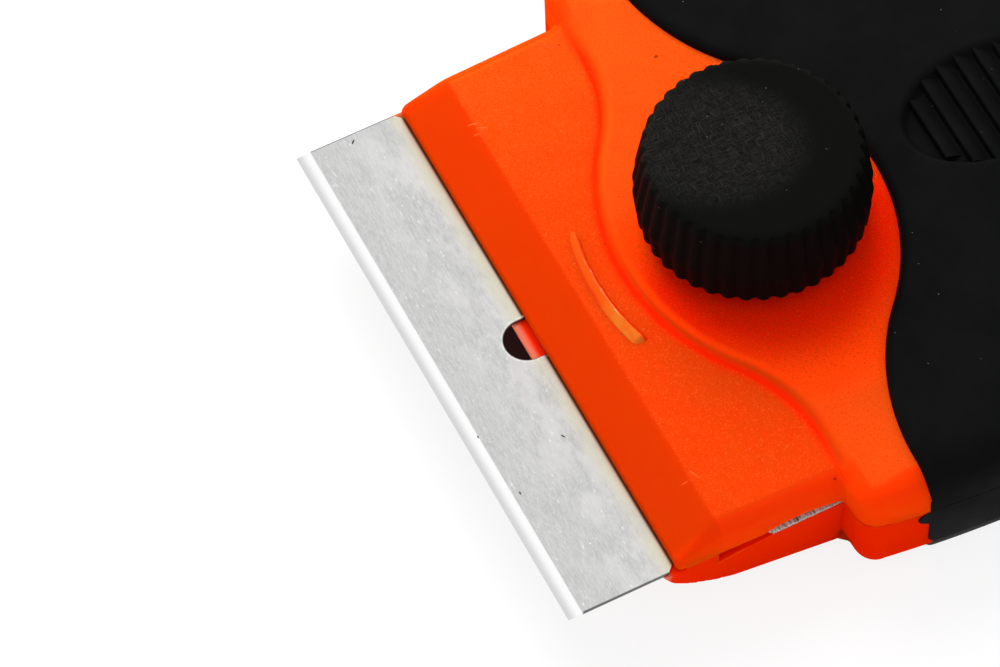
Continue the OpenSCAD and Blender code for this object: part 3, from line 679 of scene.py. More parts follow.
# Moulded texture: a fine grain of bumps, as height
GRAIN, grain_in, close_grain = shader_group("moulded_grain", "Height", Place="Vector", Scale="Float")
fine = node("ShaderNodeTexNoise", {"Vector": grain_in[0], "Scale": grain_in[1], "Detail": 2.0})
coarse = node("ShaderNodeTexNoise", {"Vector": grain_in[0], "Scale": product(grain_in[1], 0.37)})
close_grain(maths("ADD", fine, product(coarse, 0.7)))

# Dust: sparse specks, as a mask
DUST, dust_in, close_dust = shader_group(
    "dust_specks", "Mask", Place="Vector", Scale="Float", Size="Float", Share="Float"
)
cells = node("ShaderNodeTexVoronoi", {"Vector": dust_in[0], "Scale": dust_in[1]}).node.outputs
is_dust = maths("LESS_THAN", node("ShaderNodeSeparateColor", {0: cells["Color"]}), dust_in[3])
close_dust(product(is_dust, maths("LESS_THAN", cells["Distance"], dust_in[2])))

ORANGE, orange_place = new_material(
    "orange_moulding", Specular_IOR_Level=0.0, Subsurface_Weight=0.8, Subsurface_Scale=0.0018,
    Subsurface_Radius=(1.0, 0.1, 0.03),
)
spark, tone, shade = (
    node("ShaderNodeAttribute", {}, "Fac", ORANGE.node_tree, attribute_name=name) for name in PAINTED
)
orange_x, orange_y, orange_z = axes_of(orange_place)
spark_grain = use_group(GRAIN, place=orange_place, scale=7.0)
glitter = use_group(DUST, place=orange_place, scale=4.5, size=0.22, share=0.03)
sparkle = ramp(noise(orange_place, 10.0, detail=1.0), 0.55, 0.75)
pits = ramp(noise(orange_place, 7.0, detail=1.0), 0.47, 0.3)
cloud = noise(orange_place, 0.35)
below = ramp(orange_z, 0.06, -0.12)
on_bevel = product(ramp(orange_x, RIDGE_X + 0.15, RIDGE_X - 0.15), 0.9)
on_side = product(ramp(maths("ABSOLUTE", orange_y), 18.4, 20.0), ramp(spark, 0.9, 0.1, 0.0, 0.85))
ridge_line = ramp(maths("ABSOLUTE", maths("SUBTRACT", orange_x, RIDGE_X)), 0.3, 0.05, 0.3, 0.8)
scuffed = marks(orange_place, JAW_SCUFFS)
orange_colour = layered(
    ORANGE_DEEP,
    # Painted light and shade from the attribute: deep red for painted shade, paler on the lit boss.
    (product(tone, 2.0), ORANGE_SPARK),
    (ramp(tone, 0.5, 1.0), ORANGE_BOSS),
    # Painted shadow of the knob on the boss: warm red at its edge, deep red close to the knob.
    (ramp(shade, 0.08, 0.42), ORANGE_WARM),
    (ramp(shade, 0.42, 1.0), ORANGE_DEEP),
    (ramp(cloud, 0.35, 0.7, 0.0, 0.12), ORANGE_DEEP),
    # Painted shade on the jaw's bevel, which faces away from the light.
    (on_bevel, ORANGE_BEVEL),
    # Painted shade on the jaw's smooth sides.
    (on_side, ORANGE_SIDE),
    # Painted shade on the lower moulding, below the parting.
    (below, ORANGE_LOWER),
    (product(spark, pits, 0.55), ORANGE_BEVEL),
    # Painted highlight along the ridge between bevel and flat.
    (product(spark, sparkle, ridge_line), ORANGE_PALE),
    (product(spark, glitter, 0.3), ORANGE_PALE),
    # Painted light on the lower jaw's front tip.
    (product(below, ramp(orange_x, 7.4, 6.95, 0.0, 0.65)), TIP_PALE),
    # Painted shadow in the lower jaw's corner under the lip.
    (product(below, marks(orange_place, LIP_CORNER_SHADOW)), LIP_SHADOW_COLOUR),
    (product(scuffed, 0.5), ORANGE_PALE),
    (product(marks(orange_place, ORANGE_SPECKS), 0.8), SPECK_COLOUR),
)
spark_height = product(spark_grain, maths("ADD", product(spark, 0.9), 0.1))
spark_height = maths("ADD", spark_height, product(scuffed, 0.8))
surface(ORANGE, orange_colour, ramp(spark, 0.0, 1.0, 0.32, 0.5), (spark_height, 0.4, 0.00005))
finished("lower_moulding", lower_mesh, ORANGE, "base", ["lower_shell"])
finished("blade_post", post_mesh, ORANGE, "base")


# Lower grip: soft black rubber moulded over the back of the lower shell. It stands a little proud
# of the collar, where its edge runs in a bell-shaped curve, and it is what the tool lies on.
GRIP_EDGE_R = 0.6
GRIP_BLACK = (0.0038, 0.0038, 0.0038, 1)
GRIP_WORN = (0.0028, 0.0028, 0.0029, 1)
DUST_GREY = (0.35, 0.35, 0.33, 1)
CORE_END = TOTAL_LEN - SKIN_T
FACE_MIN = 0.06
CORE_MIN = 0.03
SKIN_MIN = 0.3
LOWER_START = 35
FRONT_SHARES = (
    0, 0.002, 0.006, 0.012, 0.02, 0.03, 0.045, 0.065, 0.09, 0.13, 0.19, 0.27, 0.37, 0.48, 0.6, 0.73, 0.86
)
TOOTH_X = 23.5
TOOTH = [
    (23.95, -0.04), (23.6, -0.05), (23.08, -0.4), (23.0, -0.7), (23.08, -0.95), (23.6, -1.4), (23.95, -1.6)
]


def grip_half(name, sign, height, start, stations, spacing):
    """Half of the soft grip: an outer face of the height given, and an inner face on the shell's core."""
    share = across(spacing)
    columns = []
    for t in FRONT_SHARES:
        x = np.full(len(share), BELL_X)
        for _ in range(4):
            x = mix(swept(share * side_width(x), **BELL), start, t)
        columns.append(x)
    columns += [np.full(len(share), station) for station in stations]
    rings = []
    for x in columns:
        half = side_width(x)
        y = share * half
        face = PART_Z + (tail_ease(x) if sign < 0 else 0 * x)
        outer = height(x, y) - quarter(half - np.abs(y), EDGE_R) - quarter(TOTAL_LEN - x, EDGE_R)
        outer = np.maximum(outer - quarter(behind(x, y, BELL), GRIP_EDGE_R), face + FACE_MIN)
        inner_half = half - SKIN_T
        inner_y = share * inner_half
        inner = height(x, inner_y) - SKIN_T - quarter(inner_half - np.abs(inner_y), EDGE_R - SKIN_T)
        inner = np.maximum(np.minimum(inner, outer - SKIN_MIN), face + CORE_MIN)
        inner = np.where(x > CORE_END, face + CORE_MIN, inner)
        ring = []
        for width, depth in ((y, outer), (inner_y, inner)):
            rise = sign * np.concatenate([face[:1], depth, face[-1:]])
            ring.append(np.stack([np.pad(x, 1, "edge"), np.pad(width, 1, "edge"), rise], -1))
        rings.append(np.vstack([ring[0], ring[1][::-1]]))
    return loft(name, np.array(rings), paired=True)


tail_stations = TOTAL_LEN - 12 * (1 - np.sin(np.linspace(0, math.pi / 2, 26)))
tail_stations = np.sort(np.concatenate([tail_stations, [CORE_END - STEP, CORE_END + STEP]]))
lower_stations = np.concatenate([np.linspace(LOWER_START, 87, 60), tail_stations[1:]])
lower_grip = grip_half(
    "lower_grip", -1, lambda x, _: np.full_like(x, GRIP_DEPTH), LOWER_START, lower_stations, 0.8
)

RUBBER, rubber_place = new_material("soft_grip", Specular_IOR_Level=0.03)
rubber_grain = use_group(GRAIN, place=rubber_place, scale=6.0)
rubber_cloud = noise(rubber_place, 0.25, detail=4.0)
rubber_dust = use_group(DUST, place=rubber_place, scale=1.3, size=0.05, share=0.14)
rubber_colour = layered(
    GRIP_BLACK, (ramp(rubber_cloud, 0.3, 0.75), GRIP_WORN), (product(rubber_dust, 0.25), DUST_GREY)
)
surface(RUBBER, rubber_colour, ramp(rubber_cloud, 0.2, 0.8, 0.5, 0.66), (rubber_grain, 0.2, 0.00003))
lower_grip = cut(lower_grip, hang_tool(TOOL_TOP))
finished("lower_soft_grip", lower_grip, RUBBER, "base", ["lower_grip"])
for name, side in (("left", 1), ("right", -1)):
    tooth_y = [float(side_width(np.array(TOOTH_X))) + d for d in (-0.6, -0.02, 0.05)]
    tooth = [[(x + lead, side * y, z) for x, z in TOOTH] for y, lead in zip(tooth_y, (0, 0, 0.06))]
    finished("grip_tooth_" + name, loft("tooth", np.array(tooth)), RUBBER, "base")


# Nut, pin, washer and clip: small plated steel hardware. The nut is pressed into a hexagon pocket
# from below, the pin lies across the tail, and the washer and clip sit on the stud.
PLATED, plated_place = new_material("plated_steel", Metallic=1.0)
plated_stain = noise(plated_place, 0.9, detail=4.0)
plated_grain = use_group(GRAIN, place=plated_place, scale=4.0)
plated_colour = layered((0.6, 0.6, 0.62, 1), (ramp(plated_stain, 0.35, 0.75), (0.48, 0.47, 0.46, 1)))
surface(PLATED, plated_colour, ramp(plated_stain, 0.2, 0.8, 0.22, 0.42), (plated_grain, 0.1, 0.00003))
for name in ("clamp_nut", "pivot_pin", "knob_washer", "stud_clip"):
    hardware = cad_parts[name]
    hardware.data.materials.clear()
    hardware.data.materials.append(PLATED)


# Upper shell: the orange upper half, moulded with the bevelled upper jaw, the wave-fronted boss
# under the knob and the upper half of the collar. It tips on the tail pin.
LIP_H = 0.78
RIDGE_H = 2.55
JAW_R = 1.8
EAR_ARCH = (13.6, 19.4, 0.5)
BOSS_H = 3.3
BOSS = dict(front=COLLAR_X, nose=13.95, nose_r=16.2, sweep_r=11.2)
BOSS_SLOPE = 1.5
BOSS_FOOT = 0.12
JAW_FILLET = 0.45
CORNER_ROUND_SHARE = 0.9
RIDGE_SOFT = 0.25
BOSS_SOFT = 0.55
LIP_R = 0.4
SEAT_R = 5.1
SEAT_H = 0.55
FILM = 0.02
GRIP_TOP = 3.9
CLIP_ROOM_R = 4.1
DECK_Z = 1.65
SHADE_REACH = 16.5
SHADE_RUN = 8


def side_r(x):
    """Radius of the collar's upper and lower edges, small at the corners and full at the grip."""
    share = np.clip((x - side_x) / (BELL_X - side_x), 0, 1)
    return mix(CORNER_ROUND_SHARE * CORNER_R, EDGE_R, share)


def upper_height(x, y):
    """Height of the upper shell's top above the blade."""
    bevel = LIP_H + (x - LIP_X) * (RIDGE_H - LIP_H) / (RIDGE_X - LIP_X)
    jaw = softer_min(bevel, RIDGE_H, RIDGE_SOFT)
    r = JAW_R * (jaw - PART_Z) / (RIDGE_H - PART_Z)
    jaw = softer_min(jaw, jaw + 0.05 * r - quarter(upper_half(x) - np.abs(y), r), 0.06)
    jaw = np.maximum(jaw - quarter(x - LIP_X, 0.2) * 0.6, 0.3)
    front = behind(x, y, BOSS)
    step = softer_min(RIDGE_H + BOSS_SLOPE * (front - BOSS_FOOT), BOSS_H, BOSS_SOFT)
    depth = corner_depth(x, y)
    rounded = BOSS_H - quarter(depth, side_r(x)) + 12 * np.minimum(depth, 0)
    collar = mix(step, np.minimum(rounded, BOSS_H), side_share(y))
    return softer_max(jaw, np.maximum(collar, -5), COLLAR_SOFT)


def upper_half(x):
    """Half width of the upper jaw at its foot, rounded at the lip's corners."""
    return jaw_half(x, JAW_FILLET) - quarter(x - LIP_X, LIP_R)


def spark_mask(x, y, z):
    """Where the moulding has its spark texture: the flat of the jaw and the top of the boss."""
    slope_x = np.gradient(z, axis=0) / np.maximum(np.gradient(x, axis=0), 1e-6)
    dy = np.gradient(y, axis=1)
    slope_y = np.gradient(z, axis=1) / np.where(np.abs(dy) < 1e-6, 1e-6, dy)
    return np.clip(1.35 - 3.2 * np.hypot(slope_x, slope_y), 0, 1)


def painted_light_of(x, y, z):
    """Painted light and shade on the upper moulding: painted shade in the wave's foot and at the
    jaw's rounded edges, and painted light on the boss and towards +y, where the lamp stands.
    """
    tone = np.where(upper_half(x) - np.abs(y) < JAW_R * 0.6, 0.42, 0.5 + 0.018 * np.maximum(y, 0))
    tone = mix(tone, 0.8 + 0.012 * np.maximum(y, 0), np.clip((z - RIDGE_H) / (BOSS_H - RIDGE_H), 0, 1))
    foot = np.exp(-np.square((behind(x, y, BOSS) - 0.05) / 0.32)) * (1 - side_share(y))
    return np.clip(tone * (1 - 0.9 * foot), 0, 1)


def shade_of(x, y):
    """How far the boss's orange deepens beside the knob, on the side away from the light."""
    reach = np.hypot(x - KNOB_X, y)
    away = np.clip(0.65 - 0.9 * y / np.maximum(reach, 0.1), 0, 1)
    on_boss = np.clip((behind(x, y, BOSS) - 0.3) / 0.7, 0, 1)
    return np.clip((SHADE_REACH - reach) / SHADE_RUN, 0, 1) * away * on_boss


upper_x = spread(
    (LIP_X, LIP_X + LIP_R, 0.06), (LIP_X + LIP_R, 10.3, 0.22), (10.3, 11.4, 0.08), (11.4, 18.6, 0.16),
    (18.6, 21.2, 0.07), (21.2, 32.6, 0.16), (32.6, TOTAL_LEN - SKIN_T, 1.2), *steps_at(BED_END, *GRIP_STEPS),
)
upper_share = across(0.17, 18)
upper_jaw = np.where(upper_x < JAW_END, upper_half(upper_x), 0)
upper_w = np.maximum(upper_jaw, np.where(upper_x > COLLAR_X, outer_half(upper_x, LIP_X), 0))
ux = np.repeat(upper_x[:, None], len(upper_share), 1)
uy = upper_w[:, None] * upper_share
uz = upper_height(ux, uy) + SEAT_H * np.clip((SEAT_R - np.hypot(ux - KNOB_X, uy)) / 0.2, 0, 1)
painted = (spark_mask(ux, uy, uz), painted_light_of(ux, uy, uz), shade_of(ux, uy))
core_top = GRIP_TOP - SKIN_T - quarter(upper_w[:, None] - np.abs(uy), EDGE_R - SKIN_T)
uz = np.where(behind(ux, uy, BELL) > UNDER_GRIP, core_top, uz)
low = np.where(upper_x < BED_END, BLADE_T / 2 + FILM, PART_Z)
arch = np.clip((upper_x - EAR_ARCH[0]) / (EAR_ARCH[1] - EAR_ARCH[0]), 0, 1)
arch = EAR_ARCH[2] * 4 * arch * (1 - arch)
foot_y = np.stack([-upper_w, 0.6 - upper_w, upper_w - 0.6, upper_w], 1)
foot_z = np.stack([low + arch, low, low, low + arch], 1)
under = np.stack([np.repeat(upper_x[:, None], 4, 1), foot_y, foot_z], -1)
upper_rings = np.concatenate([np.stack([ux, uy, np.maximum(uz, low[:, None] + 0.05)], -1), under], 1)
upper_mesh = loft("upper_shell", upper_rings)
for name, values in zip(PAINTED, painted):
    values = np.concatenate([values, np.zeros((len(upper_x), 4))], 1)
    layer = upper_mesh.attributes.new(name, "FLOAT", "POINT")
    layer.data.foreach_set("value", values.ravel().astype(np.float32))
bore_tool = turned(
    [(AXIS_R, -1), (CLIP_ROOM_R, -1), (CLIP_ROOM_R, DECK_Z), (STUD_HOLE_R, DECK_Z), (STUD_HOLE_R, TOOL_TOP),
     (AXIS_R, TOOL_TOP)], KNOB_X
)
post_room = plate([stadium(POST_X - 0.5, BLADE_DEPTH - SLOT_X + 0.5, SLOT_W + 1)], -1, POST_H + 0.5)
upper_mesh = cut(upper_mesh, bore_tool, as_mesh("post_room", post_room), hang_tool(TOOL_TOP))
finished("upper_moulding", upper_mesh, ORANGE, "cover", ["upper_shell"], smooth=50)


# Gate scar: the raised curved bead left where the plastic was let into the mould, with its end
# sliced flat by the trimming knife. It is part of the upper moulding.
SCAR_X = 12.05
SCAR_BEND = 16.5
SCAR_ENDS = (4.55, -5.0)
SCAR_HALF = (0.4, 0.56)
SCAR_H = 0.48
SCAR_CREST = 0.35
SLICED_COLOUR = (0.72, 0.155, 0.014, 1)
CREST_COLOUR = (1.0, 0.36, 0.18, 1)


def scar_rings(steps=70, sides=21):
    """Rings across the bead from its thin end to its sliced end, each with a crest off its middle."""
    u = np.linspace(-1, 1, sides)
    rise = np.where(u < SCAR_CREST, (1 + u) / (1 + SCAR_CREST), (1 - u) / (1 - SCAR_CREST)) ** 1.15
    rings = []
    for t in np.linspace(0, 1, steps):
        y = mix(SCAR_ENDS[0], SCAR_ENDS[1], t)
        thin = math.sqrt(max(0.0, 1 - max(0, (0.12 - t) / 0.12) ** 2))
        ends = thin * min(1, (1 - t) / 0.03)
        half = mix(SCAR_HALF[0], SCAR_HALF[1], t) * mix(0.3, 1, thin)
        x = SCAR_X + y * y / (2 * SCAR_BEND) + half * u
        z = RIDGE_H - 0.04 + SCAR_H * mix(0.75, 1.0, t) * ends * rise
        rings.append(np.stack([x, np.full(sides, y), z], -1))
    return np.array(rings)


SCAR, scar_place = new_material(
    "cut_gate", Specular_IOR_Level=0.02, Subsurface_Weight=0.3, Subsurface_Scale=0.001
)
scar_x, scar_y, _ = axes_of(scar_place)
scar_mid = maths("ADD", product(scar_y, scar_y, 0.5 / SCAR_BEND), SCAR_X)
scar_off = maths("SUBTRACT", scar_x, scar_mid)
scar_streak = noise(scar_place, 3.0, (1, 0.4, 1))
scar_wander = product(maths("SUBTRACT", noise(scar_place, 1.2, detail=2.0), 0.5), 0.5)
sliced = product(ramp(scar_y, -0.4, -3.0), ramp(scar_off, 0.26, 0.1), ramp(scar_streak, 0.3, 0.6, 0.6, 1.0))
crest_off = maths("ABSOLUTE", maths("ADD", maths("SUBTRACT", scar_off, 0.15), scar_wander))
# Painted highlight along the bead's crest.
crest_highlight = product(
    ramp(crest_off, 0.08, 0.02), ramp(scar_y, 3.0, 1.5), ramp(scar_y, -3.2, -2.2),
    ramp(scar_streak, 0.42, 0.6, 0.1, 0.8),
)
# Painted shade on the bead's flanks.
shaded_flanks = maths("MAXIMUM", ramp(scar_off, 0.2, 0.34), ramp(scar_off, -0.16, -0.36, 0.0, 0.7))
# The bead's middle is painted light.
scar_colour = layered(
    ORANGE_BOSS, (shaded_flanks, ORANGE_LOWER), (sliced, SLICED_COLOUR), (crest_highlight, CREST_COLOUR)
)
surface(SCAR, scar_colour, ramp(scar_streak, 0.2, 0.8, 0.2, 0.4), (scar_streak, 0.3, 0.00005))
finished("gate_scar", loft("gate_scar", scar_rings()), SCAR, "cover", smooth=60)


# Upper grip: soft black rubber moulded over the back of the upper shell, with a sunk oval thumb
# pad on the centre line and a slight palm swell behind it.
PAD = (41.2, 11.8, 7.4)
PAD_DEPTH = 0.75
PAD_RIM = 0.8
SWELL_H = 1.2
CROWN_H = 0.1
UPPER_START = 34.6
swell_x = PAD[0] + PAD[1] / 2


def grip_height(x, y):
    """Height of the upper grip's top, with the palm swell, the crown and the thumb pad."""
    t = np.clip((x - swell_x) / (TOTAL_LEN - swell_x), 0, 1)
    top = GRIP_TOP + SWELL_H * np.sin(math.pi * t) ** 2 + CROWN_H * (1 - np.square(y / side_width(x)))
    long, wide = (x - PAD[0]) / (PAD[1] / 2), y / (PAD[2] / 2)
    oval = np.hypot(long, wide)
    into = (1 - oval) * oval / np.maximum(np.hypot(long / (PAD[1] / 2), wide / (PAD[2] / 2)), 1e-6)
    floor = np.where(oval < 0.5, 1, np.clip(into / PAD_RIM + 1, 0, 1))
    return top - PAD_DEPTH * floor * floor * (3 - 2 * floor)


upper_stations = np.concatenate(
    [np.linspace(UPPER_START, 47.8, 95), np.linspace(48.4, 87.6, 50), tail_stations[1:]]
)
upper_grip = grip_half("upper_grip", 1, grip_height, UPPER_START, upper_stations, 0.2)
hang_top = float(grip_height(np.array([HANG_X]), np.array([HANG_R]))[0])
upper_grip = cut(upper_grip, hang_tool(hang_top))
finished("upper_soft_grip", upper_grip, RUBBER, "cover", ["upper_grip"], smooth=40)


# Thumb ribs: a row of saw-tooth ribs across the pad's floor, each as long as the oval is wide there.
# They are moulded with the upper grip.
RIB_PITCH = 1.4
RIB_H = 0.62
RIB_GAP = 0.2
RIB_COUNT = 8


def new_tree(name, **inputs):
    """An empty geometry tree with named inputs after the geometry, its start and its closing function."""
    inputs = {"Geometry": "Geometry", **inputs, "Material": "Material"}
    tree, start, close = new_group(name, "GeometryNodeTree", inputs, {"Geometry": "Geometry"})

    def close_dressed(geometry):
        whole = node("GeometryNodeRealizeInstances", {0: geometry})
        close(node("GeometryNodeSetMaterial", {0: whole, 2: start["Material"]}))

    return tree, start, close_dressed


def grown(mesh, tree, **values):
    """The mesh that a geometry tree makes from a starting mesh and values for its named inputs."""
    named = {item.name: item.identifier for item in tree.interface.items_tree if item.in_out == "INPUT"}
    inputs = {named[key.replace("_", " ")]: value for key, value in values.items()}
    return evaluated(mesh, ("NODES", {"node_group": tree, **inputs}))


RIBS, rib_in, close_ribs = new_tree(
    "thumb_ribs", Count="Int", Pitch="Float", Pad_Length="Float", Pad_Width="Float"
)
rib_first = product(maths("SUBTRACT", rib_in["Count"], 1.0), rib_in["Pitch"], -0.5)
rib_ends = {"Start Location": rib_first, "Offset": rib_in["Pitch"]}
rib_ends = {key: node("ShaderNodeCombineXYZ", {0: value}) for key, value in rib_ends.items()}
rib_line = node("GeometryNodeMeshLine", {"Count": rib_in["Count"], **rib_ends})
rib_x = axes_of(node("GeometryNodeInputPosition", {}, tree=RIBS))[0]
rib_share = maths("DIVIDE", rib_x, product(rib_in["Pad Length"], 0.5))
rib_left = maths("SUBTRACT", 1.0, product(rib_share, rib_share))
rib_chord = maths("SQRT", maths("MAXIMUM", rib_left, 0.04))
rib_scale = node("ShaderNodeCombineXYZ", {0: 1.0, 1: product(rib_chord, rib_in["Pad Width"]), 2: 1.0})
rib_row = {"Points": rib_line, "Instance": rib_in["Geometry"], "Scale": rib_scale}
close_ribs(node("GeometryNodeInstanceOnPoints", rib_row))
rib_run = RIB_PITCH - RIB_GAP
wedge = [(0, -0.3), (0, RIB_H - 0.12), (0.05, RIB_H - 0.03), (0.14, RIB_H), (rib_run, 0), (rib_run, -0.3)]
wedge_mesh = loft("rib", np.array([[(x, y, z) for x, z in wedge] for y in np.linspace(-0.47, 0.47, 9)]))
rib_mesh = grown(
    wedge_mesh, RIBS, Count=RIB_COUNT, Pitch=RIB_PITCH, Pad_Length=PAD[1], Pad_Width=PAD[2] + 2.0,
    Material=RUBBER,
)
rib_mesh.transform(Matrix.Translation((PAD[0], 0, GRIP_TOP + CROWN_H - PAD_DEPTH)))
finished("thumb_ribs", rib_mesh, RUBBER, "cover", smooth=20)


# Knob: a black moulded knob with forty flutes that end under its rounded rim. The head of the stud
# is moulded into it, and the hub in its hollow underside presses on the washer.
KNOB_Z = 4.65
KNOB_H = 6.25
KNOB_FOOT_R = 7.55
KNOB_R = 7.75
KNOB_TOP_R = 7.25
KNOB_RIM = 0.85
KNOB_DISH = 0.06
WIDEST_SHARE = 0.36
HUB_R = 4.6
HOLLOW = 2.0
SKIRT = 1.5
FLUTES = 40
FLUTE_DEPTH = 0.22
KNOB_COLOUR = (0.0032, 0.0032, 0.0029, 1)
SCUFF_COLOUR = (0.026, 0.025, 0.021, 1)
KNOB_SCUFFS = [((KNOB_X - 2.4, 1.8, 0), 30, 7.4, 5.6)]
KNOB, knob_in, close_knob = new_tree(
    "fluted_knob", Steps_Around="Int", Flutes="Float", Flute_Depth="Float", Top_Radius="Float",
    Flute_Inside="Float",
)


def polar_grid(tree, start):
    """A grid to wrap round the upright axis: its radius and height from the profile, and its turn."""
    size = node("GeometryNodeAttributeDomainSize", {0: start["Geometry"]}, "Point Count")
    steps = start["Steps Around"]
    grid = node("GeometryNodeMeshGrid", {"Vertices X": maths("ADD", steps, 1.0), "Vertices Y": size})
    index = node("GeometryNodeInputIndex", {}, tree=tree)
    column = maths("FLOOR", maths("DIVIDE", maths("ADD", index, 0.5), size))
    sampled = {"Geometry": start["Geometry"], "Index": maths("MODULO", index, size)}
    sampled["Value"] = node("GeometryNodeInputPosition", {}, tree=tree)
    radius, _, height = axes_of(node("GeometryNodeSampleIndex", sampled, data_type="FLOAT_VECTOR"))
    return grid, radius, height, product(maths("DIVIDE", column, steps), 2 * math.pi)


def wrapped(grid, radius, height, turn):
    """The grid put round the axis, with its seam and its ends closed."""
    across_axis = [product(radius, maths(way, turn)) for way in ("COSINE", "SINE")]
    place = node("ShaderNodeCombineXYZ", dict(enumerate(across_axis + [height])))
    moved = node("GeometryNodeSetPosition", {"Geometry": grid, "Position": place})
    return node("GeometryNodeMergeByDistance", {"Geometry": moved, "Distance": 0.0005})


knob_grid, knob_radius, knob_height, knob_turn = polar_grid(KNOB, knob_in)
flute_wave = product(maths("COSINE", product(knob_turn, knob_in["Flutes"])), 0.5)
flute_wave = maths("POWER", maths("ADD", flute_wave, 0.5), 1.5)
flute_floor = maths("MAXIMUM", knob_radius, knob_in["Top Radius"])
flute_floor = maths("SUBTRACT", flute_floor, product(flute_wave, knob_in["Flute Depth"]))
is_side = maths("GREATER_THAN", knob_radius, knob_in["Flute Inside"])
fluted = product(maths("MAXIMUM", maths("SUBTRACT", knob_radius, flute_floor), 0.0), is_side)
close_knob(wrapped(knob_grid, maths("SUBTRACT", knob_radius, fluted), knob_height, knob_turn))


def profile_mesh(points):
    mesh = bpy.data.meshes.new("profile")
    mesh.from_pydata([(r, 0, z) for r, z in points], [(i, i + 1) for i in range(len(points) - 1)], [])
    return mesh


knob_side = [
    (np.interp(z, [0, WIDEST_SHARE * KNOB_H, KNOB_H - KNOB_RIM], [KNOB_FOOT_R, KNOB_R, KNOB_TOP_R]), z)
    for z in np.linspace(0, KNOB_H - KNOB_RIM, 24)
]
knob_rim = [
    (KNOB_TOP_R - KNOB_RIM * (1 - math.cos(t)), KNOB_H - KNOB_RIM * (1 - math.sin(t)))
    for t in np.radians(np.linspace(0, 90, 12))[1:]
]
knob_top = [
    (r, KNOB_H - KNOB_DISH * (1 - (r / 6) ** 2)) for r in np.linspace(KNOB_TOP_R - KNOB_RIM - 0.3, 0, 10)
]
skirt_r = KNOB_FOOT_R - SKIRT
knob_under = [(0, 0), (HUB_R, 0), (HUB_R, HOLLOW), (skirt_r, HOLLOW), (skirt_r, 0)]
knob_mesh = grown(
    profile_mesh(knob_under + knob_side + knob_rim + knob_top), KNOB, Steps_Around=FLUTES * 12,
    Flutes=float(FLUTES), Flute_Depth=FLUTE_DEPTH, Top_Radius=KNOB_TOP_R - 0.25, Flute_Inside=skirt_r + 0.2,
)
knob_mesh.transform(Matrix.Translation((KNOB_X, 0, KNOB_Z)))
KNOB_BLACK, knob_place = new_material("scuffed_knob", Specular_IOR_Level=0.015)
on_top = ramp(axes_of(knob_place)[2], KNOB_Z + KNOB_H - 0.7, KNOB_Z + KNOB_H - 0.1)
swirl = {"Vector": knob_place, "Scale": 0.35, "Detail": 2.0, "Distortion": 1.5}
swirl = {0: node("ShaderNodeTexNoise", swirl, "Color"), 1: (0.9, 0.9, 0)}
warped = {0: knob_place, 1: node("ShaderNodeVectorMath", swirl, operation="MULTIPLY")}
warped = node("ShaderNodeVectorMath", warped, operation="ADD")
hairs = noise(warped, 3.4, (3.2, 0.4, 1), 5.0, 0.75)
hairs_across = noise(warped, 3.4, (0.4, 3.2, 1), 5.0, 0.75)
scratched = ramp(maths("MAXIMUM", hairs, hairs_across), 0.42, 0.8)
worn = product(on_top, marks(knob_place, KNOB_SCUFFS), scratched)
knob_dust = use_group(DUST, place=knob_place, scale=1.6, size=0.06, share=0.2)
knob_colour = layered(KNOB_COLOUR, (worn, SCUFF_COLOUR), (product(knob_dust, 0.2), DUST_GREY))
hair_height = product(maths("ADD", hairs, hairs_across), maths("ADD", product(on_top, 0.9), 0.1))
surface(KNOB_BLACK, knob_colour, ramp(worn, 0.0, 1.0, 0.5, 0.75), (hair_height, 0.4, 0.00006))
finished("fluted_knob", knob_mesh, KNOB_BLACK, "knob", ["knob"], smooth=50)


# Stud: a plated steel screw that stands in the knob, where its hexagon head is out of sight and not
# drawn. It runs down through the upper half into the nut, threaded above the nut and plain inside it,
# and a groove holds the clip.
STUD_R = 2.0
STUD_END = -5.55
STUD_TOP = KNOB_Z + 2.4
PITCH = 0.7
THREAD_DEPTH = 0.38
THREAD_TOP = 0.2
THREAD_LOW = 0.35 - NUT_TOP
STUD_ROOT = STUD_R - THREAD_DEPTH
CLIP_Z = (0.65, 1.25)
GROOVE_R = 1.6
STUD, stud_in, close_stud = new_tree(
    "threaded_stud", Steps_Around="Int", Pitch="Float", Thread_Depth="Float", Thread_Low="Float",
    Thread_High="Float",
)
stud_grid, stud_radius, stud_height, stud_turn = polar_grid(STUD, stud_in)
stud_pitch, thread_low, thread_high = stud_in["Pitch"], stud_in["Thread Low"], stud_in["Thread High"]
climb = maths("DIVIDE", stud_height, stud_pitch)
climb = maths("SUBTRACT", climb, maths("DIVIDE", stud_turn, 2 * math.pi))
run_out = product(
    ramp(stud_height, thread_high, maths("SUBTRACT", thread_high, stud_pitch)),
    ramp(stud_height, thread_low, maths("ADD", thread_low, stud_pitch)),
)
is_outside = maths("GREATER_THAN", stud_radius, 1.0)
thread_cut = product(maths("PINGPONG", climb, 0.5), 2.0, run_out, stud_in["Thread Depth"], is_outside)
close_stud(wrapped(stud_grid, maths("SUBTRACT", stud_radius, thread_cut), stud_height, stud_turn))
shank = [(STUD_R if z > THREAD_LOW else STUD_ROOT, z) for z in np.linspace(STUD_END + 0.3, CLIP_Z[0], 80)]
upper_shank = [(STUD_R, z) for z in np.linspace(CLIP_Z[1], STUD_TOP, 20)]
groove = [(GROOVE_R, z) for z in CLIP_Z]
stud_profile = [(0, STUD_END), (STUD_ROOT - 0.3, STUD_END)] + shank + groove + upper_shank + [(0, STUD_TOP)]
stud_mesh = grown(
    profile_mesh(stud_profile), STUD, Steps_Around=36, Pitch=PITCH, Thread_Depth=THREAD_DEPTH,
    Thread_Low=THREAD_LOW, Thread_High=THREAD_TOP,
)
stud_mesh.transform(Matrix.Translation((KNOB_X, 0, 0)))
finished("threaded_stud", stud_mesh, PLATED, "knob", ["clamp_stud"], smooth=40)


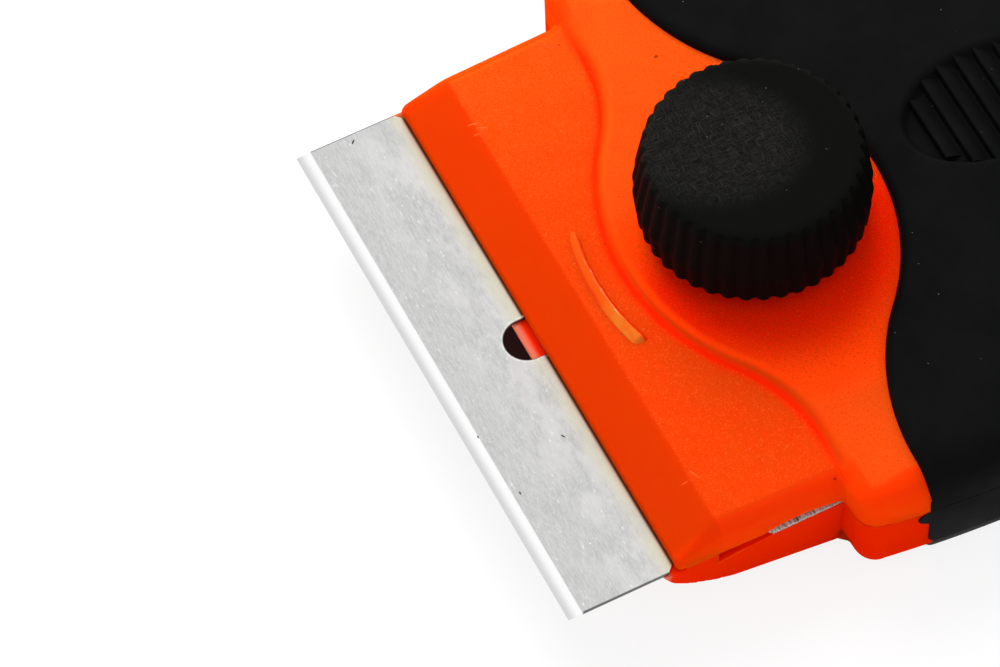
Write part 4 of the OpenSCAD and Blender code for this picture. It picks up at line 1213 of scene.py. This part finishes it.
# Floor, light and camera: a plain white sweep under a large soft light above and beside the tool,
# with the camera where the photograph was taken from. The floor is painted darker under the jaw.
FLOOR_HALF = 3.0
VIEW_TURN = math.radians(-24.28)
VIEW_RISE = math.radians(58.44)
VIEW_ROLL = math.radians(-3.07)
VIEW_TARGET = (5.74, 1.28, 0)
VIEW_DISTANCE = 0.4
FOCAL_PIXELS = 6212
FRAME_PIXELS = 1000
SENSOR = 36.0
KEY_PLACE = (-0.01, 0.14, 0.18)
PAPER_WHITE = (0.95, 0.95, 0.95, 1)
PAPER_SHADE = (0.05, 0.03, 0.03, 1)


def seen_share(tree):
    """1 for what the camera sees, also in a gloss or through something clear, and 0 for light given off."""
    rays = node("ShaderNodeLightPath", {}, tree=tree).node.outputs
    return maths("MAXIMUM", rays["Is Camera Ray"], rays["Is Glossy Ray"], rays["Is Transmission Ray"])


floor_mesh = bpy.data.meshes.new("floor")
floor_corners = [(x * FLOOR_HALF, y * FLOOR_HALF, 0) for x, y in ((-1, -1), (1, -1), (1, 1), (-1, 1))]
floor_mesh.from_pydata(floor_corners, [], [(0, 1, 2, 3)])
floor = linked("floor", floor_mesh)
PAPER, paper_place = new_material("white_paper", Roughness=0.9, Specular_IOR_Level=0.0)
paper = PAPER.node_tree
paper_shader = paper.nodes["Principled BSDF"]
paper_x, paper_y, _ = axes_of(paper_place)
shaded = product(
    ramp(paper_x, 1.8, 6.8), ramp(paper_x, 26.0, 18.0), ramp(paper_y, -15.5, -5.0), ramp(paper_y, 22.0, 10.0)
)
paper.links.new(layered(PAPER_WHITE, (shaded, PAPER_SHADE)), paper_shader.inputs["Base Color"])
paper_glow = node("ShaderNodeEmission", {"Color": (1, 1, 1, 1), "Strength": 1.0}, tree=paper)
glow_share = product(seen_share(paper), ramp(shaded, 0.0, 1.0, 0.85, 0.0))
paper_mix = node("ShaderNodeMixShader", {0: glow_share, 1: paper_shader.outputs[0], 2: paper_glow})
paper.links.new(paper_mix, paper.nodes["Material Output"].inputs["Surface"])
floor_mesh.materials.append(PAPER)

world = bpy.data.worlds.new("studio")
bpy.context.scene.world = world
world.use_nodes = True
sky = world.node_tree
sky.links.new(ramp(seen_share(sky), 0.0, 1.0, 0.8, 1.0), sky.nodes["Background"].inputs["Strength"])
sky.nodes["Background"].inputs["Color"].default_value = (1, 1, 1, 1)

key_light = bpy.data.lights.new("key", "AREA")
key_light.shape = "DISK"
key_light.size = 0.17
key_light.energy = 0.6
key = linked("key", key_light)
key.location = KEY_PLACE
key.rotation_mode = "QUATERNION"
key.rotation_quaternion = (-Vector(KEY_PLACE)).to_track_quat("-Z", "Y")
key.visible_glossy = False

level = math.cos(VIEW_RISE)
view_back = Vector((math.sin(VIEW_TURN) * level, -math.cos(VIEW_TURN) * level, math.sin(VIEW_RISE)))
right = Vector((0, 0, 1)).cross(view_back).normalized()
up = view_back.cross(right)
right, up = (
    math.cos(VIEW_ROLL) * right + math.sin(VIEW_ROLL) * up,
    -math.sin(VIEW_ROLL) * right + math.cos(VIEW_ROLL) * up,
)
camera_data = bpy.data.cameras.new("camera")
camera_data.sensor_width = SENSOR
camera_data.lens = SENSOR * FOCAL_PIXELS / FRAME_PIXELS
camera_data.clip_start = 0.01
view_place = Vector(placed(VIEW_TARGET)) + VIEW_DISTANCE * view_back
camera = linked("camera", camera_data)
camera.matrix_world = Matrix.Translation(view_place) @ Matrix((right, up, view_back)).transposed().to_4x4()
bpy.context.scene.camera = camera
bpy.context.scene.view_settings.view_transform = "Standard"
